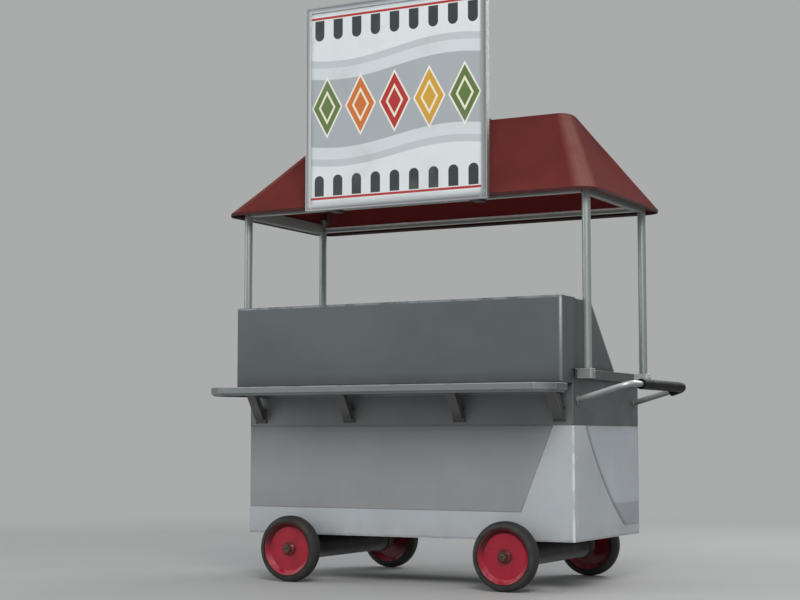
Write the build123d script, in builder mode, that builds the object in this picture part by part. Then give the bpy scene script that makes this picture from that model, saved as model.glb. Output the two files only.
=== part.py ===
from build123d import *
import math
import os

os.makedirs("parts", exist_ok=True)

# Driving dimensions, in millimetres. The cart is drawn about a point on the floor under the middle of its
# cabinet: +X towards the push handle, -Y towards the customers, +Z up.

# Sheet metal and fits
sheet = 2.0
inlay_sheet = 2.0
plate = 3.0
joint_gap = 0.2
fit_gap = 0.05
run_gap = 0.3

# Cabinet
cabinet_length = 1800.0
cabinet_depth = 864.0
cabinet_bottom = 232.0
corner_bend = 10.0
corner_return = 40.0
front_skirt = 135.0
front_inlay_head_gap = 105.0
front_inlay_foot_gap = 271.0
end_skirt = 54.0
end_inlay_head_gap = 146.0
end_inlay_bow = -37.0
end_inlay_foot_gap = 215.0
end_inlay_margin = 12.0
end_inlay_toe = 40.0
chassis_tube = 40.0
chassis_wall = 3.0

# Counter
counter_height = 1040.0
counter_edge = 46.0
counter_overhang = 10.0
apron_band = 267.0

# Wheels and axles
wheel_diameter = 328.0
tyre_width = 78.0
tyre_shoulder = 31.0
tyre_bead = 2.5
wheel_inset = 309.0
wheel_standoff = 55.0
rim_diameter = 260.0
rim_width = 68.0
rim_lip = 2.0
web_thickness = 6.0
web_offset = 4.0
dish_diameter = 216.0
hub_diameter = 64.0
hub_length = 52.0
hub_chamfer = 8.0
axle_diameter = 122.0
axle_wall = 4.0
axle_end = 8.0
axle_cap = 8.0
axle_plug = 60.0
spindle_diameter = 25.0
spindle_shoulder = 36.0
thread_diameter = 20.0
thread_tail = 1.0
nut_size = 36.0
nut_thickness = 9.0
washer_diameter = 44.0
washer_thickness = 2.0
hanger_width = 130.0
hanger_wall = 6.0

# Back frame and doors
door_sill = 350.0
door_overlap = 12.0
door_thickness = 18.0
door_bend = 4.0
door_hinge_gap = 16.0
door_hinge_inset = 80.0
stile_width = 40.0
stile_depth = 25.0
header_height = 28.0
pull_length = 150.0
pull_reach = 36.0
pull_diameter = 11.0
pull_edge = 45.0

# Hinges
barrel_diameter = 12.0
lid_barrel_diameter = 14.0
lid_barrel_lift = 0.5
leaf_depth = 26.0
leaf_gap = 1.5
pin_diameter = 6.0
knuckle = 40.0
end_knuckle = 20.0
strap_length = 40.0

# Serving shelf and brackets
shelf_overhang = 38.0
shelf_reach = 359.0
shelf_drop = 74.0
shelf_edge = 43.0
shelf_bevel = 14.0
shelf_corner_length = 85.0
shelf_corner_depth = 61.0
shelf_end_depth = 132.0
shelf_back_cut = 90.0
shelf_sheet = 2.5
bracket_inset = 71.0
bracket_inner = 307.0
bracket_width = 48.0
bracket_lift = 16.0
bracket_foot_height = 52.0
bracket_reach = 128.0
bracket_arm = 44.0
bracket_toe = 18.0
bracket_toe_lift = 18.0
bracket_plate_width = 68.0
bracket_plate_height = 76.0
bracket_plate_thickness = 5.0

# Fascia box
fascia_inset = 4.0
fascia_reach = 131.0
fascia_drop = 67.0
fascia_height = 403.0
fascia_bend = 6.0
fascia_rim = 28.0
fascia_cheek = 36.0

# Hood and lids
hood_inset = 28.5
hood_top_depth = 294.0
hood_slope = 47.0
lid_count = 3
lid_depth = 14.0
lid_gap = 4.0
lid_start = 10.0
lid_foot_gap = 2.0
lid_hinge_inset = 110.0
lid_pull_length = 170.0
lid_pull_inset = 60.0
mullion_width = 30.0
mullion_depth = 20.0

# Food pans, water tank and burners
pan_gap = 51.0
pan_width = 325.0
pan_depth = 100.0
pan_rim = 13.0
pan_play = 1.0
pan_sheet = 1.5
pan_corner = 45.0
pan_taper = 4.0
pan_setback = 392.0
tank_margin = 22.0
tank_depth = 132.0
burner_diameter = 40.0
burner_length = 340.0
burner_drop = 20.0
venturi_diameter = 26.0
hanger_strap = 30.0

# Gas supply
gas_pipe_diameter = 16.0
gas_pipe_bend = 40.0
gas_pipe_inset = 72.0
valve_size = 34.0
valve_outlet = 36.0
valve_reach = 26.0
nozzle_diameter = 12.0
nozzle_length = 90.0
stem_diameter = 8.0
stem_hole = 14.0
knob_diameter = 50.0
knob_length = 28.0
knob_base = 11.0
knob_grip = 12.0
knob_cap = 6.0
cylinder_diameter = 260.0
cylinder_height = 330.0
cylinder_dome = 60.0
cylinder_middle = 60.0
foot_clearance = 12.0
foot_ring_diameter = 208.0
foot_ring_height = 40.0
collar_diameter = 150.0
collar_height = 90.0
collar_wall = 4.0
collar_opening = 96.0
regulator_diameter = 80.0
regulator_height = 30.0

# Posts, rails and canopy
post_diameter = 41.0
post_wall = 2.5
post_standoff = 51.0
post_inset = 51.0
socket_depth = 50.0
socket_reach = 32.0
socket_floor = 10.0
socket_corner = 12.0
rail_size = 28.0
rail_wall = 2.5
rail_bottom = 1874.0
side_rail_height = 56.0
side_rail_drop = 10.0
canopy_overhang_x = 126.0
canopy_overhang_y = 72.0
canopy_bottom = 1870.0
canopy_hem = 14.0
canopy_corner = 100.0
canopy_cloth = 3.0
cloth_slant = 1.4
hip_run = 321.0
ridge_width = 130.0
ridge_height = 2350.0
ridge_setback = 60.0
ridge_round = 60.0
ridge_tube = 40.0
rafter_diameter = 25.0
rafter_wall = 2.5
eave_inset_x = 49.0
eave_inset_y = 64.0
eave_lift = 20.0
hem_rod = 12.0

# Sign
sign_width = 1016.0
sign_height = 1044.0
sign_bottom = 1858.0
sign_border = 30.0
sign_depth = 28.0
sign_face = 103.0
sign_panel_thickness = 5.0
sign_panel_inset = 9.0
sign_groove = 6.0
sign_arm_width = 50.0
sign_arm_thickness = 6.0
sign_arm_drop = 2.0
sign_arm_spread = 800.0
sign_stay_spread = 500.0
sign_stay_width = 30.0
sign_stay_thickness = 8.0
sign_stay_height = 2444.0
sign_stay_tab = 40.0
stay_foot = 22.0

# Push handle
handle_drop = 147.0
handle_rise = 75.0
handle_reach = 262.0
handle_tube = 28.0
handle_wall = 2.5
handle_bend = 50.0
flange_diameter = 44.0
flange_thickness = 4.0
grip_diameter = 50.0
grip_start = 140.0
grip_tail = 75.0
grip_round = 8.0

# Sizes that follow from the driving ones
half_length = cabinet_length / 2
half_depth = cabinet_depth / 2
paint_top = counter_height - apron_band
cabinet_paint_height = paint_top - cabinet_bottom
counter_under = counter_height - sheet
front_inlay_head = half_length - front_inlay_head_gap
front_inlay_foot = half_length - front_inlay_foot_gap
end_inlay_head = end_inlay_head_gap - half_depth
end_inlay_foot = half_depth - end_inlay_foot_gap
axle_height = wheel_diameter / 2
wheel_x = half_length - wheel_inset
wheel_y = half_depth + wheel_standoff + tyre_width / 2
post_x = half_length + post_standoff
post_y = half_depth - post_inset
shelf_length = cabinet_length + 2 * shelf_overhang
shelf_top = counter_height - shelf_drop
bracket_outer = half_length - bracket_inset
bracket_foot = paint_top + bracket_lift
fascia_length = cabinet_length - 2 * fascia_inset
fascia_bottom = counter_height - fascia_drop
fascia_top = fascia_bottom + fascia_height
hood_length = cabinet_length - 2 * hood_inset
lid_pitch = hood_length / lid_count
pan_length = lid_pitch - pan_gap
pan_middle = pan_setback - half_depth
canopy_length = cabinet_length + 2 * canopy_overhang_x
canopy_depth = cabinet_depth + 2 * canopy_overhang_y
ridge_length = canopy_length - 2 * hip_run
handle_height = counter_height - handle_drop
grip_x = half_length + handle_reach
grip_height = handle_height + handle_rise

# The origin is the middle of the whole footprint, so the cabinet stands a little off it.
left_reach = canopy_length / 2
right_reach = grip_x + grip_diameter / 2
front_reach = half_depth + shelf_reach
back_reach = wheel_y + tyre_width / 2
cart = Plane(origin=((left_reach - right_reach) / 2, (front_reach - back_reach) / 2, 0))


def at(x, y, z):
    """A point given from the middle of the cabinet at floor level."""
    return cart.from_local_coords((x, y, z))


def level(height):
    """Horizontal plane: sketch x is along the cart, sketch y towards the operator."""
    return cart.offset(height)


def front_plane(y):
    """Upright plane facing the customers: sketch x is along the cart, sketch y is height."""
    return Plane(origin=at(0, y, 0), x_dir=(1, 0, 0), z_dir=(0, -1, 0))


def side_plane(x):
    """Upright plane facing the push handle: sketch x is towards the operator, sketch y is height."""
    return Plane(origin=at(x, 0, 0), x_dir=(0, 1, 0), z_dir=(1, 0, 0))


def folded_sheet(points, bend, thickness):
    """Section of a sheet folded through the points, with its thickness on the left of them."""
    with BuildLine() as fold:
        FilletPolyline(*points, radius=bend)
        offset(amount=thickness, side=Side.LEFT)
    make_face(fold.edges())


def outline(points):
    """Straight-sided face through the points."""
    with BuildLine() as line:
        Polyline(*points, close=True)
    make_face(line.edges())


def bar(start, end, diameter, mode=Mode.ADD):
    """Round bar from one point to another, added to the part in hand or cut from it."""
    run = end - start
    with BuildSketch(Plane(origin=start, z_dir=run)) as section:
        Circle(diameter / 2)
    extrude(section.sketch, amount=run.length, mode=mode)


def bent_rod(points, bend, diameter, mode=Mode.ADD):
    """Round rod along straight runs joined by bends, added to the part in hand or cut from it."""
    with BuildLine() as path:
        FilletPolyline(*points, radius=bend)
    with BuildSketch(Plane(origin=path.line @ 0, z_dir=path.line % 0)) as section:
        Circle(diameter / 2)
    sweep(section.sketch, path=path.line, mode=mode)


def save(part, label):
    """Name a finished piece and write it."""
    part.label = label
    export_step(part, f"parts/{label}.step")


# Chassis: two long tubes and four cross tubes, welded at the corners
rail_y = half_depth - sheet - chassis_tube / 2
rail_length = cabinet_length - 2 * corner_bend
cross_half = rail_y - chassis_tube / 2 - joint_gap
end_cross = half_length - sheet - chassis_tube / 2
chassis_middle = cabinet_bottom + chassis_tube / 2
with BuildPart() as chassis_frame:
    with BuildSketch(side_plane(-rail_length / 2)):
        with Locations((-rail_y, chassis_middle), (rail_y, chassis_middle)):
            Rectangle(chassis_tube, chassis_tube)
            Rectangle(chassis_tube - 2 * chassis_wall, chassis_tube - 2 * chassis_wall, mode=Mode.SUBTRACT)
    extrude(amount=rail_length)
    with BuildSketch(front_plane(cross_half)):
        with Locations(*[(x, chassis_middle) for x in (-end_cross, -wheel_x, wheel_x, end_cross)]):
            Rectangle(chassis_tube, chassis_tube)
            Rectangle(chassis_tube - 2 * chassis_wall, chassis_tube - 2 * chassis_wall, mode=Mode.SUBTRACT)
    extrude(amount=2 * cross_half)
save(chassis_frame.part, "chassis_frame")

# Axles: a wide tube each, with a turned spindle plugged into both ends and threaded for the hub nut
axle_half = half_depth + axle_end
axle_bore = axle_diameter - 2 * axle_wall
cap_start = axle_half + joint_gap
cap_end = cap_start + axle_cap
hub_inner = wheel_y - hub_length / 2
hub_outer = wheel_y + hub_length / 2
thread_end = hub_outer + run_gap + washer_thickness + nut_thickness + thread_tail
spindle_profile = [
    (axle_half - axle_plug, 0),
    (axle_half - axle_plug, axle_bore / 2 - joint_gap),
    (cap_start, axle_bore / 2 - joint_gap),
    (cap_start, axle_diameter / 2),
    (cap_end, axle_diameter / 2),
    (cap_end, spindle_shoulder / 2),
    (hub_inner - run_gap, spindle_shoulder / 2),
    (hub_inner - run_gap, spindle_diameter / 2),
    (hub_outer + run_gap, spindle_diameter / 2),
    (hub_outer + run_gap, thread_diameter / 2),
    (thread_end, thread_diameter / 2),
    (thread_end, 0),
]
with BuildPart() as axles:
    with BuildSketch(front_plane(axle_half)):
        with Locations((-wheel_x, axle_height), (wheel_x, axle_height)):
            Circle(axle_diameter / 2)
            Circle(axle_bore / 2, mode=Mode.SUBTRACT)
    extrude(amount=2 * axle_half)
    for x in (-wheel_x, wheel_x):
        for side in (-1, 1):
            with BuildSketch(side_plane(x)):
                outline([(side * y, axle_height + r) for y, r in spindle_profile])
            revolve(axis=Axis(at(x, 0, axle_height), (0, 1, 0)))
save(axles.part, "axles")

# Axle hangers: a web under each long chassis tube, bored for the axle
with BuildPart() as axle_hangers:
    for y in (-rail_y, rail_y):
        for x in (-wheel_x, wheel_x):
            with BuildSketch(front_plane(y + chassis_tube / 2)):
                with Locations((x, axle_height)):
                    Circle(axle_diameter / 2 + hanger_wall)
                with Locations((x, cabinet_bottom)):
                    Rectangle(hanger_width, hanger_wall / 2, align=(Align.CENTER, Align.MAX))
                make_hull()
                with Locations((x, axle_height)):
                    Circle(axle_diameter / 2 + fit_gap, mode=Mode.SUBTRACT)
            extrude(amount=chassis_tube)
save(axle_hangers.part, "axle_hangers")

# Hub nuts with their washers, on the threads outside the wheels
with BuildPart() as hub_nuts:
    with BuildSketch(front_plane(-hub_outer - run_gap)):
        with Locations((-wheel_x, axle_height), (wheel_x, axle_height)):
            Circle(washer_diameter / 2)
            Circle(thread_diameter / 2 + fit_gap, mode=Mode.SUBTRACT)
    extrude(amount=washer_thickness)
    with BuildSketch(front_plane(-hub_outer - run_gap - washer_thickness)):
        with Locations((-wheel_x, axle_height), (wheel_x, axle_height)):
            RegularPolygon(nut_size / 2, 6, major_radius=False)
            Circle(thread_diameter / 2 + fit_gap, mode=Mode.SUBTRACT)
    extrude(amount=nut_thickness)
    mirror(about=front_plane(0))
save(hub_nuts.part, "hub_nuts")

# Wheels: a solid tyre on a dished disc with a long hub
rim_radius = rim_diameter / 2
web_outer = web_offset + web_thickness
disc_profile = [
    (-hub_length / 2, spindle_diameter / 2 + fit_gap),
    (hub_length / 2, spindle_diameter / 2 + fit_gap),
    (hub_length / 2, hub_diameter / 2 - hub_chamfer),
    (hub_length / 2 - hub_chamfer, hub_diameter / 2),
    (web_outer, hub_diameter / 2),
    (web_outer, dish_diameter / 2),
    (rim_width / 2, rim_radius - rim_lip),
    (rim_width / 2, rim_radius),
    (-rim_width / 2, rim_radius),
    (-rim_width / 2, rim_radius - rim_lip),
    (web_offset, dish_diameter / 2),
    (web_offset, hub_diameter / 2),
    (hub_chamfer - hub_length / 2, hub_diameter / 2),
    (-hub_length / 2, hub_diameter / 2 - hub_chamfer),
]
tyre_height = wheel_diameter / 2 - rim_radius - fit_gap
wheel_places = {
    "front_left": (-wheel_x, -1),
    "front_right": (wheel_x, -1),
    "rear_left": (-wheel_x, 1),
    "rear_right": (wheel_x, 1),
}
for place, (x, side) in wheel_places.items():
    axle_line = Axis(at(x, 0, axle_height), (0, 1, 0))
    with BuildPart() as tyre:
        with BuildSketch(side_plane(x)) as tyre_section:
            with Locations((side * wheel_y, axle_height + wheel_diameter / 2)):
                Rectangle(tyre_width, tyre_height, align=(Align.CENTER, Align.MAX))
            fillet(tyre_section.vertices().group_by(Axis.Y)[-1], tyre_shoulder)
            fillet(tyre_section.vertices().group_by(Axis.Y)[0], tyre_bead)
        revolve(axis=axle_line)
    save(tyre.part, f"tyre_{place}")
    with BuildPart() as wheel_disc:
        with BuildSketch(side_plane(x)):
            outline([(side * (wheel_y + a), axle_height + r) for a, r in disc_profile])
        revolve(axis=axle_line)
    save(wheel_disc.part, f"wheel_disc_{place}")

# Cabinet floor, lying on the chassis
floor_bottom = cabinet_bottom + chassis_tube
floor_top = floor_bottom + sheet
with BuildPart() as floor_panel:
    with BuildSketch(level(floor_bottom)) as floor_sketch:
        Rectangle(cabinet_length - 2 * sheet, cabinet_depth - 2 * sheet)
        fillet(floor_sketch.vertices(), corner_bend)
    extrude(amount=sheet)
save(floor_panel.part, "floor_panel")

# Painted front panel, folded round both front corners
front_fold = [
    (-half_length, corner_return - half_depth),
    (-half_length, -half_depth),
    (half_length, -half_depth),
    (half_length, corner_return - half_depth),
]
with BuildPart() as front_panel:
    with BuildSketch(level(cabinet_bottom)):
        folded_sheet(front_fold, corner_bend, sheet)
    extrude(amount=cabinet_paint_height)
save(front_panel.part, "front_panel")

# Front inlay: from the left corner to a slanted right end, above a painted skirt
inlay_left = corner_bend - half_length
inlay_bottom = cabinet_bottom + front_skirt
with BuildPart() as front_inlay:
    with BuildSketch(front_plane(-half_depth)):
        outline([
            (inlay_left, inlay_bottom),
            (front_inlay_foot, inlay_bottom),
            (front_inlay_head, paint_top),
            (inlay_left, paint_top),
        ])
    extrude(amount=inlay_sheet)
save(front_inlay.part, "front_inlay")

# Painted end panels
end_start = corner_return - half_depth
with BuildPart() as end_panels:
    with BuildSketch(side_plane(half_length - sheet)):
        with Locations((end_start, cabinet_bottom)):
            Rectangle(half_depth - end_start, cabinet_paint_height, align=Align.MIN)
    extrude(amount=sheet)
    mirror(about=side_plane(0))
save(end_panels.part, "end_panels")

# End inlays: the handle end has a bowed slanted edge, the other end is square
end_inlay_back = half_depth - end_inlay_margin
end_inlay_bottom = cabinet_bottom + end_skirt
with BuildPart() as end_inlays:
    with BuildSketch(side_plane(half_length)) as end_inlay_sketch:
        with BuildLine():
            slant = SagittaArc((end_inlay_head, paint_top), (end_inlay_foot, end_inlay_bottom), end_inlay_bow)
            Polyline(
                slant @ 1,
                (end_inlay_back, end_inlay_bottom),
                (end_inlay_back, paint_top),
                slant @ 0,
            )
        make_face()
        toe = end_inlay_sketch.vertices().sort_by_distance((end_inlay_foot, end_inlay_bottom, 0))
        fillet(toe[0], end_inlay_toe)
    extrude(amount=inlay_sheet)
    with BuildSketch(side_plane(-half_length)):
        with Locations((end_start, end_inlay_bottom)):
            Rectangle(end_inlay_back - end_start, paint_top - end_inlay_bottom, align=Align.MIN)
    extrude(amount=-inlay_sheet)
save(end_inlays.part, "end_inlays")

# Steel apron round the front and the two ends
apron_bottom = paint_top + joint_gap
apron_height = counter_under - apron_bottom
with BuildPart() as apron_panels:
    with BuildSketch(level(apron_bottom)):
        folded_sheet(front_fold, corner_bend, sheet)
    extrude(amount=apron_height)
    with BuildSketch(side_plane(half_length - sheet)):
        with Locations((end_start + joint_gap, apron_bottom)):
            Rectangle(half_depth - end_start - joint_gap, apron_height, align=Align.MIN)
    extrude(amount=sheet)
    with BuildSketch(side_plane(-half_length)):
        with Locations((end_start + joint_gap, apron_bottom)):
            Rectangle(half_depth - end_start - joint_gap, apron_height, align=Align.MIN)
    extrude(amount=sheet)
save(apron_panels.part, "apron_panels")

# Back frame: skirt, four stiles and a header round three door openings
back_length = cabinet_length - 2 * sheet
end_stile = half_length - sheet - stile_width / 2
stile_pitch = 2 * end_stile / 3
stile_places = [-end_stile, stile_pitch / -2, stile_pitch / 2, end_stile]
header_bottom = paint_top - header_height
with BuildPart() as back_frame:
    with BuildSketch(front_plane(half_depth)):
        with Locations((0, cabinet_bottom)):
            Rectangle(back_length, door_sill - cabinet_bottom, align=(Align.CENTER, Align.MIN))
    extrude(amount=sheet)
    with BuildSketch(front_plane(half_depth)):
        with Locations(*[(x, door_sill + joint_gap) for x in stile_places]):
            Rectangle(
                stile_width,
                header_bottom - door_sill - 2 * joint_gap,
                align=(Align.CENTER, Align.MIN),
            )
        with Locations((0, header_bottom)):
            Rectangle(back_length, header_height, align=(Align.CENTER, Align.MIN))
    extrude(amount=stile_depth)
save(back_frame.part, "back_frame")

# Bulkhead between the store and the gas bay
gas_stile = stile_places[2]
with BuildPart() as bulkhead:
    with BuildSketch(side_plane(gas_stile - sheet / 2)):
        with Locations((sheet - half_depth, floor_top)):
            Rectangle(cabinet_depth - sheet - stile_depth, header_bottom - floor_top, align=Align.MIN)
    extrude(amount=sheet)
save(bulkhead.part, "bulkhead")

# Doors: folded trays over the openings, each with two strap hinges and a bow pull
door_bottom = door_sill - door_overlap
door_top = header_bottom + door_overlap
door_width = stile_pitch - door_hinge_gap
door_face = half_depth + run_gap + door_thickness
door_axis_y = door_face + plate
door_hinge_heights = [door_bottom + door_hinge_inset, door_top - door_hinge_inset]
doors = {
    "left": (stile_places[0], 1),
    "middle": (stile_places[1], 1),
    "gas": (stile_places[3], -1),
}
for place, (hinge_x, towards) in doors.items():
    near_edge = hinge_x + towards * door_hinge_gap / 2
    middle = near_edge + towards * door_width / 2
    strap_reach = door_hinge_gap / 2 + strap_length
    with BuildPart() as door:
        with BuildSketch(front_plane(door_face)):
            with Locations((middle, door_bottom)):
                Rectangle(door_width, door_top - door_bottom, align=(Align.CENTER, Align.MIN))
        extrude(amount=door_thickness)
        fillet(door.faces().sort_by(Axis.Y)[-1].edges(), door_bend)
        offset(amount=-sheet, openings=door.faces().sort_by(Axis.Y)[0])
        for z in door_hinge_heights:
            with BuildSketch(level(z - knuckle / 2)):
                with Locations((hinge_x + towards * strap_reach / 2, door_face + plate / 2)):
                    Rectangle(strap_reach, plate)
                with Locations((hinge_x, door_axis_y)):
                    Circle(barrel_diameter / 2)
                    Circle(pin_diameter / 2 + fit_gap, mode=Mode.SUBTRACT)
            extrude(amount=knuckle)
    save(door.part, f"door_{place}")
    pull_x = near_edge + towards * (door_width - pull_edge)
    pull_middle = (door_bottom + door_top) / 2
    with BuildPart() as door_pull:
        bent_rod(
            [
                at(pull_x, door_face, pull_middle - pull_length / 2),
                at(pull_x, door_face + pull_reach, pull_middle - pull_length / 2),
                at(pull_x, door_face + pull_reach, pull_middle + pull_length / 2),
                at(pull_x, door_face, pull_middle + pull_length / 2),
            ],
            2 * pull_diameter,
            pull_diameter,
        )
    save(door_pull.part, f"door_pull_{place}")

# Counter top: a tray with turned-down edges, open towards the hood, with a cut-out for each pan
bays = [(i - (lid_count - 1) / 2) * lid_pitch for i in range(lid_count)]
tub_length = pan_length - 2 * pan_rim
tub_width = pan_width - 2 * pan_rim
counter_length = cabinet_length + 2 * counter_overhang
counter_bottom = counter_height - counter_edge
with BuildPart() as counter_top:
    with BuildSketch(level(counter_bottom)):
        with Locations((0, -half_depth)):
            Rectangle(counter_length, cabinet_depth + counter_overhang, align=(Align.CENTER, Align.MIN))
    extrude(amount=counter_edge)
    fillet(counter_top.edges().filter_by(Axis.Z).group_by(Axis.Y)[-1], corner_bend)
    fillet(counter_top.faces().sort_by(Axis.Z)[-1].edges().sort_by(Axis.Y)[1:], sheet)
    with BuildSketch(level(counter_bottom)):
        with Locations((0, -half_depth)):
            Rectangle(
                counter_length - 2 * sheet,
                cabinet_depth + counter_overhang - sheet,
                align=(Align.CENTER, Align.MIN),
            )
    extrude(amount=counter_edge - sheet, mode=Mode.SUBTRACT)
    with BuildSketch(level(counter_under)):
        with Locations(*[(x, pan_middle) for x in bays]):
            RectangleRounded(tub_length + 2 * pan_play, tub_width + 2 * pan_play, pan_corner)
    extrude(amount=sheet, mode=Mode.SUBTRACT)
save(counter_top.part, "counter_top")

# Water tank hung under the counter
tank_length = 2 * bays[-1] + tub_length + 2 * tank_margin
tank_width = tub_width + 2 * tank_margin
tank_bottom = counter_under - tank_depth
with BuildPart() as water_tank:
    with BuildSketch(level(tank_bottom)):
        with Locations((0, pan_middle)):
            RectangleRounded(tank_length, tank_width, pan_corner)
    extrude(amount=tank_depth)
    offset(amount=-sheet, openings=water_tank.faces().sort_by(Axis.Z)[-1])
save(water_tank.part, "water_tank")

# Food pans: tapered tubs with a rim that rests on the counter
with BuildPart() as food_pan:
    with BuildSketch(level(counter_height)):
        with Locations((0, pan_middle)):
            RectangleRounded(pan_length, pan_width, pan_corner)
    extrude(amount=pan_sheet)
    with BuildSketch(level(counter_height)):
        with Locations((0, pan_middle)):
            RectangleRounded(tub_length, tub_width, pan_corner)
    extrude(amount=-pan_depth, taper=pan_taper)
    with BuildSketch(level(counter_height + pan_sheet)):
        with Locations((0, pan_middle)):
            RectangleRounded(tub_length - 2 * pan_sheet, tub_width - 2 * pan_sheet, pan_corner - pan_sheet)
    extrude(amount=-pan_depth, taper=pan_taper, mode=Mode.SUBTRACT)
with BuildPart() as food_pans:
    with Locations(*[(x, 0, 0) for x in bays]):
        add(food_pan.part)
save(food_pans.part, "food_pans")

# Burners: a tube under each pan, hung from the tank by two straps, with a venturi towards the valve
burner_height = tank_bottom - burner_drop - burner_diameter / 2
burner_front = pan_middle - burner_length / 2
burner_back = pan_middle + burner_length / 2
pipe_y = half_depth - gas_pipe_inset
venturi_end = pipe_y - nozzle_length
with BuildPart() as burners:
    for x in bays:
        bar(at(x, burner_front, burner_height), at(x, burner_back, burner_height), burner_diameter)
        bar(at(x, burner_back, burner_height), at(x, venturi_end, burner_height), venturi_diameter)
        for y in (pan_middle - burner_length / 4, pan_middle + burner_length / 4):
            with BuildSketch(level(burner_height)):
                with Locations((x, y)):
                    Rectangle(hanger_strap, plate)
            extrude(amount=tank_bottom - burner_height)
save(burners.part, "burners")

# Gas manifold: a pipe from the regulator along the back, with a valve, a nozzle and a stem at each burner
pipe_height = burner_height
gas_bay = (stile_places[2] + stile_places[3]) / 2
cylinder_top = floor_top + cylinder_height
outlet_height = cylinder_top + valve_outlet
regulator_inlet = gas_bay + valve_reach
regulator_x = regulator_inlet + regulator_diameter
regulator_outlet = regulator_x + regulator_diameter
pipe_drop_x = regulator_outlet + 2 * gas_pipe_bend
stem_end = half_depth + run_gap + knob_length - knob_cap
with BuildPart() as gas_manifold:
    bent_rod(
        [
            at(bays[0] - valve_size, pipe_y, pipe_height),
            at(pipe_drop_x, pipe_y, pipe_height),
            at(pipe_drop_x, pipe_y, outlet_height),
            at(pipe_drop_x, cylinder_middle, outlet_height),
            at(regulator_outlet, cylinder_middle, outlet_height),
        ],
        gas_pipe_bend,
        gas_pipe_diameter,
    )
    with BuildSketch(level(pipe_height - valve_size / 2)):
        with Locations(*[(x, pipe_y) for x in bays]):
            Rectangle(valve_size, valve_size)
    extrude(amount=valve_size)
    for x in bays:
        bar(at(x, pipe_y, pipe_height), at(x, venturi_end + run_gap, pipe_height), nozzle_diameter)
        bar(at(x, pipe_y, pipe_height), at(x, stem_end, pipe_height), stem_diameter)
save(gas_manifold.part, "gas_manifold")

# Back apron, with a hole for each valve stem
with BuildPart() as back_apron:
    with BuildSketch(front_plane(half_depth)):
        with Locations((0, apron_bottom)):
            Rectangle(back_length, apron_height, align=(Align.CENTER, Align.MIN))
        with Locations(*[(x, pipe_height) for x in bays]):
            Circle(stem_hole / 2, mode=Mode.SUBTRACT)
    extrude(amount=sheet)
save(back_apron.part, "back_apron")

# Valve knobs: a disc with a grip bar across it, bored for the stem
for number, x in enumerate(bays, start=1):
    with BuildPart() as knob:
        with BuildSketch(front_plane(half_depth + run_gap + knob_base)):
            with Locations((x, pipe_height)):
                Circle(knob_diameter / 2)
        extrude(amount=knob_base)
        fillet(knob.faces().sort_by(Axis.Y)[-1].edges(), plate)
        with BuildSketch(front_plane(half_depth + run_gap + knob_length)):
            with Locations((x, pipe_height)):
                SlotOverall(knob_diameter - 4 * plate, knob_grip, rotation=90)
        extrude(amount=knob_length)
        with BuildSketch(front_plane(stem_end + run_gap)):
            with Locations((x, pipe_height)):
                Circle(stem_diameter / 2 + fit_gap)
        extrude(amount=knob_length, mode=Mode.SUBTRACT)
    save(knob.part, f"knob_{number}")

# Gas cylinder: domed body on a foot ring, with an open collar round its valve
with BuildPart() as gas_cylinder:
    with BuildSketch(level(floor_top + foot_clearance)):
        with Locations((gas_bay, cylinder_middle)):
            Circle(cylinder_diameter / 2)
    extrude(amount=cylinder_height - foot_clearance)
    fillet(gas_cylinder.edges(), cylinder_dome)
    with BuildSketch(level(floor_top)):
        with Locations((gas_bay, cylinder_middle)):
            Circle(foot_ring_diameter / 2)
            Circle(foot_ring_diameter / 2 - collar_wall, mode=Mode.SUBTRACT)
    extrude(amount=foot_ring_height)
    with BuildSketch(level(cylinder_top - collar_wall)):
        with Locations((gas_bay, cylinder_middle)):
            Circle(collar_diameter / 2)
            Circle(collar_diameter / 2 - collar_wall, mode=Mode.SUBTRACT)
        with Locations((gas_bay, cylinder_middle)):
            Rectangle(collar_diameter, collar_opening, align=(Align.MIN, Align.CENTER), mode=Mode.SUBTRACT)
    extrude(amount=collar_height)
    bar(
        at(gas_bay, cylinder_middle, cylinder_top - collar_wall),
        at(gas_bay, cylinder_middle, outlet_height + valve_size / 2),
        valve_size - 2 * collar_wall,
    )
    bar(
        at(gas_bay, cylinder_middle, outlet_height),
        at(regulator_inlet, cylinder_middle, outlet_height),
        gas_pipe_diameter,
    )
save(gas_cylinder.part, "gas_cylinder")

# Regulator between the cylinder valve and the pipe
with BuildPart() as gas_regulator:
    with BuildSketch(level(outlet_height - regulator_height / 2)):
        with Locations((regulator_x, cylinder_middle)):
            Circle(regulator_diameter / 2)
    extrude(amount=regulator_height)
    fillet(gas_regulator.edges(), plate)
    bar(
        at(regulator_inlet, cylinder_middle, outlet_height),
        at(regulator_outlet, cylinder_middle, outlet_height),
        gas_pipe_diameter + collar_wall,
    )
save(gas_regulator.part, "gas_regulator")

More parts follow.
